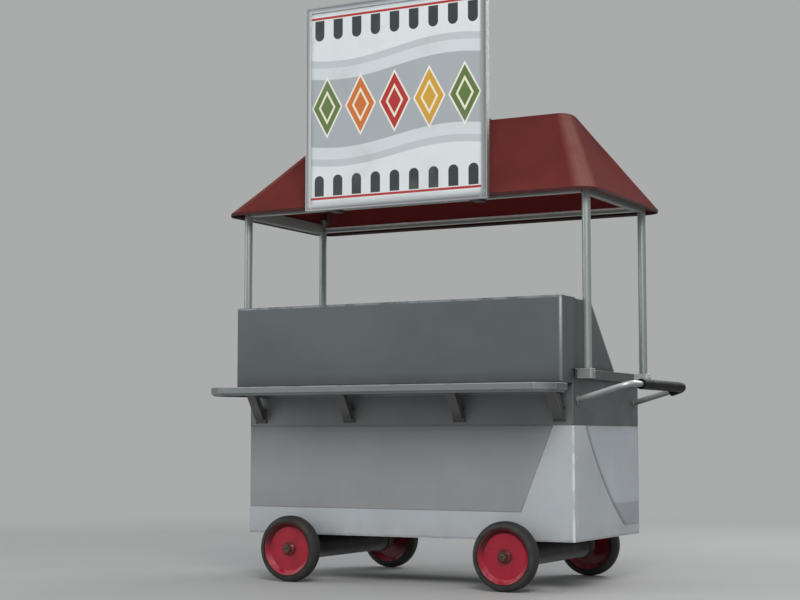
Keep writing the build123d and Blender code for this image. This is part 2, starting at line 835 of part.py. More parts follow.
# Fascia box over the shelf: a closed shell with a long opening into the hood, and a cheek back along each end of it
fascia_front = -half_depth - fascia_reach
mouth_bottom = counter_height + sheet
cheek_back = fascia_cheek - half_depth
cheek_bottom = counter_height + joint_gap
cheek_inner = hood_length / 2 + joint_gap
cheek_outer = fascia_length / 2
with BuildPart() as fascia_box:
    with BuildSketch(level(fascia_bottom)):
        with Locations((0, -half_depth)):
            Rectangle(fascia_length, fascia_reach, align=(Align.CENTER, Align.MAX))
    extrude(amount=fascia_height)
    fillet(fascia_box.edges().filter_by(GeomType.LINE).group_by(Axis.Y)[0], fascia_bend)
    offset(amount=-sheet, openings=fascia_box.faces().sort_by(Axis.Y)[-1])
    with BuildSketch(front_plane(-half_depth)):
        with Locations((0, fascia_bottom)):
            Rectangle(fascia_length, fascia_height, align=(Align.CENTER, Align.MIN))
        with Locations((0, mouth_bottom)):
            Rectangle(
                hood_length,
                fascia_top - fascia_rim - mouth_bottom,
                align=(Align.CENTER, Align.MIN),
                mode=Mode.SUBTRACT,
            )
    extrude(amount=sheet)
    for end in (-1, 1):
        with BuildSketch(level(cheek_bottom)):
            outline([
                (end * cheek_outer, -half_depth),
                (end * cheek_outer, cheek_back),
                (end * cheek_inner, cheek_back),
                (end * cheek_inner, cheek_back - sheet),
                (end * (cheek_outer - sheet), cheek_back - sheet),
                (end * (cheek_outer - sheet), -half_depth),
            ])
        extrude(amount=fascia_top - sheet - cheek_bottom)
        with BuildSketch(level(fascia_top - sheet)):
            outline([
                (end * cheek_outer, -half_depth),
                (end * cheek_outer, cheek_back),
                (end * cheek_inner, cheek_back),
                (end * cheek_inner, -half_depth),
            ])
        extrude(amount=sheet)
save(fascia_box.part, "fascia_box")

# Serving shelf: a shallow tray turned upside down, with clipped corners and a bevelled lower edge
shelf_bottom = shelf_top - shelf_edge
shelf_front = -half_depth - shelf_reach
shelf_half = shelf_length / 2
shelf_end_start = shelf_front + shelf_corner_depth
shelf_side = [
    (shelf_half - shelf_corner_length, shelf_front),
    (shelf_half, shelf_end_start),
    (shelf_half, shelf_end_start + shelf_end_depth),
    (shelf_half - shelf_back_cut, -half_depth),
]
with BuildPart() as serving_shelf:
    with BuildSketch(level(shelf_bottom)):
        outline(shelf_side + [(-x, y) for x, y in reversed(shelf_side)])
    extrude(amount=shelf_edge)
    shelf_foot = serving_shelf.faces().sort_by(Axis.Z)[0].edges().sort_by(Axis.Y)
    chamfer(shelf_foot[:-1], shelf_bevel)
    shelf_rim = serving_shelf.faces().sort_by(Axis.Z)[-1].edges().sort_by(Axis.Y)
    fillet(shelf_rim[:-1], plate)
    offset(amount=-shelf_sheet, openings=serving_shelf.faces().sort_by(Axis.Z)[0])
save(serving_shelf.part, "serving_shelf")

# Shelf brackets: a wall plate and a pressed arm each, up to the underside of the shelf
shelf_under = shelf_top - shelf_sheet
plate_face = -half_depth - bracket_plate_thickness
arm_front = -half_depth - bracket_reach
arm_back = arm_front + bracket_arm
arm_foot = bracket_foot + bracket_toe_lift
bracket_profile = [
    (plate_face, arm_foot),
    (plate_face, bracket_foot + bracket_foot_height),
    (arm_back, shelf_under),
    (arm_front, shelf_under),
    (plate_face - bracket_toe, arm_foot),
]
bracket_pocket = [
    (plate_face, bracket_foot + bracket_foot_height),
    (arm_back, shelf_under),
    (arm_front + 2 * plate, shelf_under),
    (plate_face - bracket_toe + 2 * plate, arm_foot + bracket_toe / 2),
]
with BuildPart() as shelf_brackets:
    for x in (-bracket_outer, -bracket_inner, bracket_inner, bracket_outer):
        with BuildSketch(front_plane(-half_depth)):
            with Locations((x, bracket_foot)):
                RectangleRounded(
                    bracket_plate_width,
                    bracket_plate_height,
                    bracket_plate_thickness,
                    align=(Align.CENTER, Align.MIN),
                )
        extrude(amount=bracket_plate_thickness)
        with BuildSketch(side_plane(x - bracket_width / 2)):
            outline(bracket_profile)
        extrude(amount=bracket_width)
        with BuildSketch(side_plane(x - bracket_width / 2 + plate)):
            outline(bracket_pocket)
        extrude(amount=bracket_width - 2 * plate, mode=Mode.SUBTRACT)
save(shelf_brackets.part, "shelf_brackets")

# The hood's back slopes down from the lid hinges; a point on it is given along the slope and out from it
slope_cos = math.cos(math.radians(hood_slope))
slope_sin = math.sin(math.radians(hood_slope))
lid_axis_y = hood_top_depth - half_depth
lid_axis_z = fascia_top + lid_barrel_diameter / 2 + lid_barrel_lift
lid_end = (lid_axis_z - slope_cos * lid_depth / 2 - counter_height - lid_foot_gap) / slope_sin
frame_face = -lid_depth / 2 - run_gap


def slope_plane(x):
    """Plane of the sloped back: sketch x along the cart, sketch y down the slope, from the lid hinge axis."""
    return Plane(origin=at(x, lid_axis_y, lid_axis_z), x_dir=(1, 0, 0), z_dir=(0, slope_sin, slope_cos))


def slope_at(height, out):
    """Distance towards the operator of the sloped line that lies out from the hinge axis, at a height."""
    along = (lid_axis_z + out * slope_cos - height) / slope_sin
    return lid_axis_y + along * slope_cos + out * slope_sin


# Hood ends, closing the space between the fascia and the lids
hood_roof = fascia_top - sheet
with BuildPart() as hood_ends:
    with BuildSketch(side_plane(hood_length / 2 - plate)):
        outline([
            (-half_depth, counter_height),
            (slope_at(counter_height, frame_face), counter_height),
            (slope_at(hood_roof, frame_face), hood_roof),
            (-half_depth, hood_roof),
        ])
    extrude(amount=plate)
    mirror(about=side_plane(0))
save(hood_ends.part, "hood_ends")

# Hood roof, carrying the lid hinges
with BuildPart() as hood_top:
    with BuildSketch(level(hood_roof)):
        with Locations((0, -half_depth)):
            Rectangle(hood_length, hood_top_depth - sheet, align=(Align.CENTER, Align.MIN))
    extrude(amount=sheet)
save(hood_top.part, "hood_top")

# Sloped mullions under the gaps between the lids
mullion_back = frame_face - mullion_depth
with BuildPart() as hood_mullions:
    with BuildSketch(side_plane(lid_pitch / 2 - mullion_width / 2)):
        outline([
            (slope_at(counter_height, mullion_back), counter_height),
            (slope_at(counter_height, frame_face), counter_height),
            (slope_at(hood_roof, frame_face), hood_roof),
            (slope_at(hood_roof, mullion_back), hood_roof),
        ])
    extrude(amount=mullion_width)
    mirror(about=side_plane(0))
save(hood_mullions.part, "hood_mullions")

# Lids: folded trays with two hinge knuckles on their upper edge and a bow handle near the lower one
lid_width = lid_pitch - lid_gap
lid_knuckle = knuckle - 2 * run_gap
hinge_offset = lid_width / 2 - lid_hinge_inset
slope_out = Axis(at(0, lid_axis_y, lid_axis_z), (0, slope_sin, slope_cos))
for number, x in enumerate(bays, start=1):
    with BuildPart() as lid:
        with BuildSketch(slope_plane(x).offset(-lid_depth / 2)):
            with Locations((0, lid_start)):
                Rectangle(lid_width, lid_end - lid_start, align=(Align.CENTER, Align.MIN))
        extrude(amount=lid_depth)
        fillet(lid.faces().sort_by(slope_out)[-1].edges(), door_bend)
        offset(amount=-sheet, openings=lid.faces().sort_by(slope_out)[0])
        for hinge_x in (-hinge_offset, hinge_offset):
            with BuildSketch(slope_plane(x).offset(lid_depth / 2 - plate)):
                with Locations((hinge_x, 0)):
                    Rectangle(lid_knuckle, 2 * lid_start, align=(Align.CENTER, Align.MIN))
            extrude(amount=plate)
            with BuildSketch(side_plane(x + hinge_x - lid_knuckle / 2)):
                with Locations((lid_axis_y, lid_axis_z)):
                    Circle(lid_barrel_diameter / 2)
            extrude(amount=lid_knuckle)
            with BuildSketch(side_plane(x + hinge_x - lid_knuckle / 2)):
                with Locations((lid_axis_y, lid_axis_z)):
                    Circle(pin_diameter / 2 + fit_gap)
            extrude(amount=lid_knuckle, mode=Mode.SUBTRACT)
    save(lid.part, f"lid_{number}")
    lid_face = slope_plane(x).offset(lid_depth / 2)
    grip_along = lid_end - lid_pull_inset
    with BuildPart() as lid_handle:
        bent_rod(
            [
                lid_face.from_local_coords((-lid_pull_length / 2, grip_along, 0)),
                lid_face.from_local_coords((-lid_pull_length / 2, grip_along, pull_reach)),
                lid_face.from_local_coords((lid_pull_length / 2, grip_along, pull_reach)),
                lid_face.from_local_coords((lid_pull_length / 2, grip_along, 0)),
            ],
            2 * pull_diameter,
            pull_diameter,
        )
    save(lid_handle.part, f"lid_handle_{number}")

# Fixed halves of the lid and door hinges, each with its pin
leaf_half = knuckle / 2 + end_knuckle
leaf_edge = lid_axis_y - lid_barrel_diameter / 2 - leaf_gap
root_start = knuckle / 2 + run_gap
with BuildPart() as hinge_leaves:
    for x in [bay + offset_x for bay in bays for offset_x in (-hinge_offset, hinge_offset)]:
        with BuildSketch(level(fascia_top)):
            with Locations((x, leaf_edge)):
                Rectangle(2 * leaf_half, leaf_depth, align=(Align.CENTER, Align.MAX))
        extrude(amount=plate)
        for start in (x - leaf_half, x + knuckle / 2):
            with BuildSketch(side_plane(start)):
                with Locations((leaf_edge - plate, fascia_top)):
                    Rectangle(lid_axis_y - leaf_edge + plate, lid_axis_z - fascia_top, align=Align.MIN)
                with Locations((lid_axis_y, lid_axis_z)):
                    Circle(lid_barrel_diameter / 2)
            extrude(amount=end_knuckle)
        bar(
            at(x - leaf_half, lid_axis_y, lid_axis_z),
            at(x + leaf_half, lid_axis_y, lid_axis_z),
            pin_diameter,
        )
    for hinge_x, towards in doors.values():
        for z in door_hinge_heights:
            for start in (z - root_start - end_knuckle, z + root_start):
                with BuildSketch(level(start)):
                    with Locations((hinge_x, half_depth)):
                        Rectangle(door_hinge_gap / 2, door_axis_y - half_depth, align=(Align.CENTER, Align.MIN))
                    with Locations((hinge_x, door_axis_y)):
                        Circle(barrel_diameter / 2)
                extrude(amount=end_knuckle)
            bar(
                at(hinge_x, door_axis_y, z - root_start),
                at(hinge_x, door_axis_y, z + root_start),
                pin_diameter,
            )
save(hinge_leaves.part, "hinge_leaves")

# Post sockets on the ends of the counter
socket_foot = counter_bottom + socket_floor
post_places = [(x, y) for x in (-post_x, post_x) for y in (-post_y, post_y)]
socket_length = post_standoff - counter_overhang + socket_reach
socket_x = (counter_length + socket_length) / 2
with BuildPart() as post_sockets:
    with BuildSketch(level(counter_bottom)):
        with Locations(*[(x, y) for x in (-socket_x, socket_x) for y in (-post_y, post_y)]):
            Rectangle(socket_length, socket_depth)
    extrude(amount=counter_edge)
    upright = post_sockets.edges().filter_by(Axis.Z).group_by(Axis.X)
    fillet(upright[0] + upright[-1], socket_corner)
    fillet(post_sockets.faces().filter_by(Axis.Z).group_by(Axis.Z)[-1].edges(), sheet)
    with BuildSketch(level(socket_foot)):
        with Locations(*post_places):
            Circle(post_diameter / 2 + fit_gap)
    extrude(amount=counter_edge, mode=Mode.SUBTRACT)
save(post_sockets.part, "post_sockets")

# Canopy frame lines: a ridge tube under the top of the cover, set back a little, and a rafter under each hip
ridge_axis = ridge_height - canopy_cloth - run_gap - ridge_tube / 2
ridge_end = (ridge_length - ridge_width) / 2
ridge_line = (at(-ridge_end, ridge_setback, ridge_axis), at(ridge_end, ridge_setback, ridge_axis))
rafter_foot_x = canopy_length / 2 - eave_inset_x
rafter_foot_y = canopy_depth / 2 - eave_inset_y
rafter_foot_z = canopy_bottom + eave_lift
rafter_lines = [
    (at(x * ridge_end, ridge_setback, ridge_axis), at(x * rafter_foot_x, y * rafter_foot_y, rafter_foot_z))
    for x in (-1, 1)
    for y in (-1, 1)
]

# Canopy posts, cut off a little below the middle of the rafters and coped under them
with BuildPart() as canopy_posts:
    for side in (-1, 1):
        down = (side * post_y - ridge_setback) / (side * rafter_foot_y - ridge_setback)
        post_top = ridge_axis - (ridge_axis - rafter_foot_z) * down - rafter_diameter / 2
        with BuildSketch(level(socket_foot)):
            with Locations((-post_x, side * post_y), (post_x, side * post_y)):
                Circle(post_diameter / 2)
                Circle(post_diameter / 2 - post_wall, mode=Mode.SUBTRACT)
        extrude(amount=post_top - socket_foot)
    for start, end in rafter_lines:
        bar(start, end, rafter_diameter + 2 * joint_gap, mode=Mode.SUBTRACT)
save(canopy_posts.part, "canopy_posts")

# Eave rails between the posts, deeper at the two ends
rail_middle = rail_bottom + rail_size / 2
side_rail_middle = rail_bottom - side_rail_drop + side_rail_height / 2
rail_bore = rail_size - 2 * rail_wall
rail_half_x = post_x - post_diameter / 2 - joint_gap
rail_half_y = post_y - post_diameter / 2 - joint_gap
with BuildPart() as canopy_rails:
    with BuildSketch(side_plane(-rail_half_x)):
        with Locations((-post_y, rail_middle), (post_y, rail_middle)):
            RectangleRounded(rail_size, rail_size, plate)
            Rectangle(rail_bore, rail_bore, mode=Mode.SUBTRACT)
    extrude(amount=2 * rail_half_x)
    with BuildSketch(front_plane(rail_half_y)):
        with Locations((-post_x, side_rail_middle), (post_x, side_rail_middle)):
            RectangleRounded(rail_size, side_rail_height, plate)
            Rectangle(rail_bore, side_rail_height - 2 * rail_wall, mode=Mode.SUBTRACT)
    extrude(amount=2 * rail_half_y)
save(canopy_rails.part, "canopy_rails")

# Rafters coped to the ridge tube, and rods in the hem of the cover
cloth_run = canopy_cloth * cloth_slant
hem_x = canopy_length / 2 - cloth_run - run_gap - hem_rod / 2
hem_y = canopy_depth / 2 - cloth_run - run_gap - hem_rod / 2
hem_half_x = canopy_length / 2 - canopy_corner
hem_half_y = canopy_depth / 2 - canopy_corner
hem_height = canopy_bottom + canopy_hem / 2
with BuildPart() as canopy_rafters:
    for start, end in rafter_lines:
        bar(start, end, rafter_diameter)
    for start, end in rafter_lines:
        bar(start, end, rafter_diameter - 2 * rafter_wall, mode=Mode.SUBTRACT)
    bar(
        at(-ridge_length / 2, ridge_setback, ridge_axis),
        at(ridge_length / 2, ridge_setback, ridge_axis),
        ridge_tube + 2 * joint_gap,
        mode=Mode.SUBTRACT,
    )
    bar(*ridge_line, ridge_tube)
    bar(*ridge_line, ridge_tube - 2 * rafter_wall, mode=Mode.SUBTRACT)
    for y in (-hem_y, hem_y):
        bar(at(-hem_half_x, y, hem_height), at(hem_half_x, y, hem_height), hem_rod)
    for x in (-hem_x, hem_x):
        bar(at(x, -hem_half_y, hem_height), at(x, hem_half_y, hem_height), hem_rod)
save(canopy_rafters.part, "canopy_rafters")

# Canopy cover: a hipped shell from an upright hem to a narrow ridge, rounded at the hips and open below
eave = canopy_bottom + canopy_hem
ridge_inset = cloth_run - canopy_cloth
with BuildPart() as canopy_core:
    with BuildSketch(level(eave)):
        RectangleRounded(
            canopy_length - 2 * cloth_run,
            canopy_depth - 2 * cloth_run,
            canopy_corner - cloth_run,
        )
    with BuildSketch(level(ridge_height - canopy_cloth)):
        with Locations((0, ridge_setback)):
            RectangleRounded(
                ridge_length - 2 * ridge_inset,
                ridge_width - 2 * ridge_inset,
                ridge_width / 2 - sheet - ridge_inset,
            )
    loft()
    fillet(canopy_core.faces().sort_by(Axis.Z)[-1].edges(), ridge_round - canopy_cloth)
    with BuildSketch(level(canopy_bottom)):
        RectangleRounded(
            canopy_length - 2 * cloth_run,
            canopy_depth - 2 * cloth_run,
            canopy_corner - cloth_run,
        )
    extrude(amount=canopy_hem)
with BuildPart() as canopy_cover:
    with BuildSketch(level(eave)):
        RectangleRounded(canopy_length, canopy_depth, canopy_corner)
    with BuildSketch(level(ridge_height)):
        with Locations((0, ridge_setback)):
            RectangleRounded(ridge_length, ridge_width, ridge_width / 2 - sheet)
    loft()
    fillet(canopy_cover.faces().sort_by(Axis.Z)[-1].edges(), ridge_round)
    with BuildSketch(level(canopy_bottom)):
        RectangleRounded(canopy_length, canopy_depth, canopy_corner)
    extrude(amount=canopy_hem)
    add(canopy_core.part, mode=Mode.SUBTRACT)
save(canopy_cover.part, "canopy_cover")

# Sign frame: four mitred members with a groove for the panel
sign_front = -half_depth - sign_face
sign_back = sign_front + sign_depth
sign_top = sign_bottom + sign_height
sign_half = sign_width / 2
inner_half = sign_half - sign_border
sill = [
    (joint_gap - sign_half, sign_bottom),
    (sign_half - joint_gap, sign_bottom),
    (inner_half - joint_gap, sign_bottom + sign_border),
    (joint_gap - inner_half, sign_bottom + sign_border),
]
jamb = [
    (sign_half, sign_bottom),
    (sign_half, sign_top),
    (inner_half, sign_top - sign_border),
    (inner_half, sign_bottom + sign_border),
]
groove_front = sign_front + sign_panel_inset
with BuildPart() as sign_frame:
    with BuildSketch(front_plane(sign_back)):
        outline(sill)
        outline([(x, sign_bottom + sign_top - z) for x, z in sill])
        outline(jamb)
        outline([(-x, z) for x, z in jamb])
    extrude(amount=sign_depth)
    with BuildSketch(front_plane(groove_front + sign_panel_thickness + fit_gap)):
        with Locations((0, sign_bottom + sign_height / 2)):
            Rectangle(2 * (inner_half + sign_groove), sign_height - 2 * (sign_border - sign_groove))
    extrude(amount=sign_panel_thickness + 2 * fit_gap, mode=Mode.SUBTRACT)
save(sign_frame.part, "sign_frame")

# Sign panel in the groove
with BuildPart() as sign_panel:
    with BuildSketch(front_plane(groove_front + sign_panel_thickness)):
        with Locations((0, sign_bottom + sign_height / 2)):
            Rectangle(
                2 * (inner_half + sign_groove - run_gap),
                sign_height - 2 * (sign_border - sign_groove + run_gap),
            )
    extrude(amount=sign_panel_thickness)
save(sign_panel.part, "sign_panel")

# Sign brackets: two arms under the hem, packed up to the front rail, and two bent stays down to the ridge
sign_arm_top = canopy_bottom - sign_arm_drop
stay_path = [
    (sign_back, sign_stay_height + sign_stay_tab),
    (sign_back, sign_stay_height),
    (ridge_setback - stay_foot, ridge_height),
    (ridge_setback + stay_foot, ridge_height),
]
with BuildPart() as sign_brackets:
    with BuildSketch(level(sign_arm_top - sign_arm_thickness)):
        with Locations((-sign_arm_spread / 2, sign_back), (sign_arm_spread / 2, sign_back)):
            Rectangle(sign_arm_width, rail_size / 2 - post_y - sign_back, align=(Align.CENTER, Align.MIN))
    extrude(amount=sign_arm_thickness)
    with BuildSketch(level(sign_arm_top)):
        with Locations((-sign_arm_spread / 2, -post_y), (sign_arm_spread / 2, -post_y)):
            Rectangle(sign_arm_width, rail_size)
    extrude(amount=rail_bottom - sign_arm_top)
    for x in (-sign_stay_spread / 2, sign_stay_spread / 2):
        with BuildSketch(side_plane(x - sign_stay_width / 2)):
            folded_sheet(stay_path, sign_stay_thickness + sheet, sign_stay_thickness)
        extrude(amount=sign_stay_width)
save(sign_brackets.part, "sign_brackets")

# Push handle: a bent tube on two flanges; its line starts behind the end panel, and the tube is cut off there
arm_length = math.hypot(handle_reach, handle_rise)
start_x = half_length - handle_tube * handle_reach / arm_length
start_z = handle_height - handle_tube * handle_rise / arm_length
handle_line = [
    at(start_x, -post_y, start_z),
    at(grip_x, -post_y, grip_height),
    at(grip_x, post_y, grip_height),
    at(start_x, post_y, start_z),
]
with BuildPart() as push_handle:
    bent_rod(handle_line, handle_bend, handle_tube)
    with BuildSketch(side_plane(half_length)):
        with Locations((-post_y, handle_height), (post_y, handle_height)):
            Circle(flange_diameter / 2)
    extrude(amount=flange_thickness)
    bent_rod(handle_line, handle_bend, handle_tube - 2 * handle_wall, mode=Mode.SUBTRACT)
    split(bisect_by=side_plane(half_length), keep=Keep.TOP)
save(push_handle.part, "push_handle")

# Rubber grip over most of the crossbar and round its far bend
tail_x = grip_x - grip_tail * handle_reach / arm_length
tail_z = grip_height - grip_tail * handle_rise / arm_length
grip_line = [
    at(grip_x, grip_start - post_y, grip_height),
    at(grip_x, post_y, grip_height),
    at(tail_x, post_y, tail_z),
]
with BuildPart() as handle_grip:
    bent_rod(grip_line, handle_bend, grip_diameter)
    fillet(handle_grip.edges().filter_by(GeomType.CIRCLE).sort_by(SortBy.LENGTH)[-2:], grip_round)
    bent_rod(grip_line, handle_bend, handle_tube + 2 * joint_gap, mode=Mode.SUBTRACT)
save(handle_grip.part, "handle_grip")
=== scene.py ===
import math

import bmesh
import bpy
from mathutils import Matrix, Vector, noise


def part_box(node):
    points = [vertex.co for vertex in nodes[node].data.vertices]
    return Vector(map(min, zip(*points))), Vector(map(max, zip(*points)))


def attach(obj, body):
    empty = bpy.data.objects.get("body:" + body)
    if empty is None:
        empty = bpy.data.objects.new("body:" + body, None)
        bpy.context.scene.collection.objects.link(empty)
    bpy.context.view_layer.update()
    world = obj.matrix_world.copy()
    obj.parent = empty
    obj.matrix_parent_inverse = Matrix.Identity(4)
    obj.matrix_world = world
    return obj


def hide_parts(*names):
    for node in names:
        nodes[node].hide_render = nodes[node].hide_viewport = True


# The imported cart, in metres: +X towards the push handle, -Y towards the customers, +Z up
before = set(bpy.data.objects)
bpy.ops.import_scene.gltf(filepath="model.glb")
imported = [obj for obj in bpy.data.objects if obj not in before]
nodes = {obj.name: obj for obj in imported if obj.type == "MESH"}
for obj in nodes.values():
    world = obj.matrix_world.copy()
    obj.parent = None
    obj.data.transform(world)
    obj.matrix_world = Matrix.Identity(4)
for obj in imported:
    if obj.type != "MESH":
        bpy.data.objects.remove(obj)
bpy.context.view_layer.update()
cart_middle = Vector((-0.0805, 0.113, 0.0))

# View
view_target = (-0.2929, 0.041, 1.4306)
view_azimuth = 28.2275
view_elevation = -4.8142
view_distance = 8.519
view_lens = 73.66
view_sensor = 36.0

# Canopy cover
canopy_corner = 0.100
canopy_hem = 0.014
hem_length = 6.0
ridge_length = 1.410
ridge_width = 0.130
ridge_corner = 0.063
ridge_setback = 0.060
ridge_ease = 0.027
slope_length = 0.66
cloth_thickness = 0.0012
cloth_sag = 0.012
cloth_ripple = 0.0022
weave_pitch = 0.0028
seam_width = 0.024
seam_rise = 0.0006
stitch_offset = 0.0085
stitch_pitch = 0.008
webbing_pitch = 0.0022
rail_top = 1.902

# Sign: its print is counted from the panel's middle, its rivets from the ends of the frame
wave_turn = 5.2
wave_rise = 0.035
wave_halves = (0.27, 0.234, 0.174)
diamond_pitch = 0.1935
diamond_share = 0.46
diamond_half = 0.158
diamond_sizes = (1.0, 0.89, 0.55, 0.41)
bar_pitch = 0.108
bar_share = 0.25
bar_foot = 0.372
bar_head = 0.45
red_line = 0.462
sign_half = 0.508
sign_face = -0.535
sign_rivets = ((0.009, 1.892), (0.034, 1.867), (0.009, 2.868), (0.034, 2.893))
stay_places = (-0.25, 0.25)
stay_foot = (-0.499, 2.468)
arm_places = (-0.4, 0.4)
arm_end = -0.490
arm_underside = 1.862

# Wheels
wheel_sides = {"left": -0.591, "right": 0.591}
wheel_places = {f"{row}_{side}": x for row in ("front", "rear") for side, x in wheel_sides.items()}
axle_height = 0.164
rim_radius = 0.130
dish_radius = 0.108
hub_radius = 0.026
hub_grime = 0.050
sidewall_foot = 0.137
sidewall_head = 0.150
sidewall_rings = ((0.1395, 0.0014), (0.1525, 0.0012))
shoulder_radius = 0.161
tread_edge = 0.160
tread_radius = 0.1635

# Shelf brackets, push handle, posts and the end inlay
bracket_places = (-0.829, -0.307, 0.307, 0.829)
bracket_face = -0.437
bracket_bolt_half = 0.0285
bracket_bolt_heights = (0.797, 0.857)
flange_face = 0.904
flange_height = 0.893
flange_circle = 0.0182
post_line = 0.381
socket_face = 0.983
socket_bolt_height = 1.017
inlay_head = (-0.286, 0.773)
inlay_foot = (0.217, 0.286)
inlay_bow = 0.037
inlay_band = 0.400

# Lids
lid_bays = (-0.581, 0.0, 0.581)
lid_slope = math.radians(47)
lid_hinge_reach = 0.1785
lid_leaf = (-0.160, 1.379)
lid_leaf_half = 0.026
lid_grip_foot = (0.1402, 1.0954)
lid_grip_half = 0.085

# Doors: each with its hinge line and the way that the leaf reaches from it
doors = {"left": (-0.878, 1), "middle": (-0.2927, 1), "gas": (0.878, -1)}
door_face = 0.4503
strap_thickness = 0.003
strap_heights = (0.418, 0.677)
strap_screws = ((0.022, 0.011), (0.022, -0.011), (0.039, 0.0))
door_pull_reach = 0.5323
door_pull_heights = (0.4725, 0.6225)

# Valves: the dial is counted from the back face, the pointer is a length, a width and a rise
valve_height = 0.866
back_face = 0.432
knob_face = 0.4603
dial_inner = 0.0265
dial_outer = 0.0385
dial_thickness = 0.0012
dial_shoulder = 0.0008
dial_chamfer = 0.0007
dial_circle = 0.0325
dial_marks = 7
dial_mark_turn = 45
dial_mark_size = 0.0010
dial_mark_growth = 0.0003
pointer_offset = 0.0095
pointer_size = (0.015, 0.0026, 0.0005)

# Sizes of bolts, rivets and rosettes
bracket_bolt_size = 0.0052
handle_screw_size = 0.0026
hinge_rivet_size = 0.005
socket_bolt_size = 0.008
sign_rivet_size = 0.0045
sign_bolt_size = 0.008
strap_screw_size = 0.0042
rosette_size = 0.0115

# Floor, fading out between two distances from the middle
floor_radius = 9.0
floor_fade = (2.4, 7.5)


def at(x, y, z):
    """A point given from the middle of the cabinet at floor level."""
    return cart_middle + Vector((x, y, z))


def srgb(red, green, blue):
    """Linear colour of a screen colour."""
    levels = [c / 255 for c in (red, green, blue)]
    linear = [v / 12.92 if v <= 0.04045 else ((v + 0.055) / 1.055) ** 2.4 for v in levels]
    return (*linear, 1.0)


def shade(colour, factor):
    """A colour made lighter or darker."""
    return (*[min(1.0, c * factor) for c in colour[:3]], 1.0)


class Nodes:
    """The nodes of a material or a world."""

    def __init__(self, owner):
        owner.use_nodes = True
        self.tree = owner.node_tree
        self.tree.nodes.clear()

    def node(self, kind, **settings):
        made = self.tree.nodes.new(kind)
        for key, value in settings.items():
            setattr(made, key, value)
        return made

    def feed(self, socket, value):
        if isinstance(value, bpy.types.NodeSocket):
            self.tree.links.new(value, socket)
        else:
            socket.default_value = value

    def math(self, kind, a, b=0.0):
        made = self.node("ShaderNodeMath", operation=kind)
        self.feed(made.inputs[0], a)
        self.feed(made.inputs[1], b)
        return made.outputs[0]


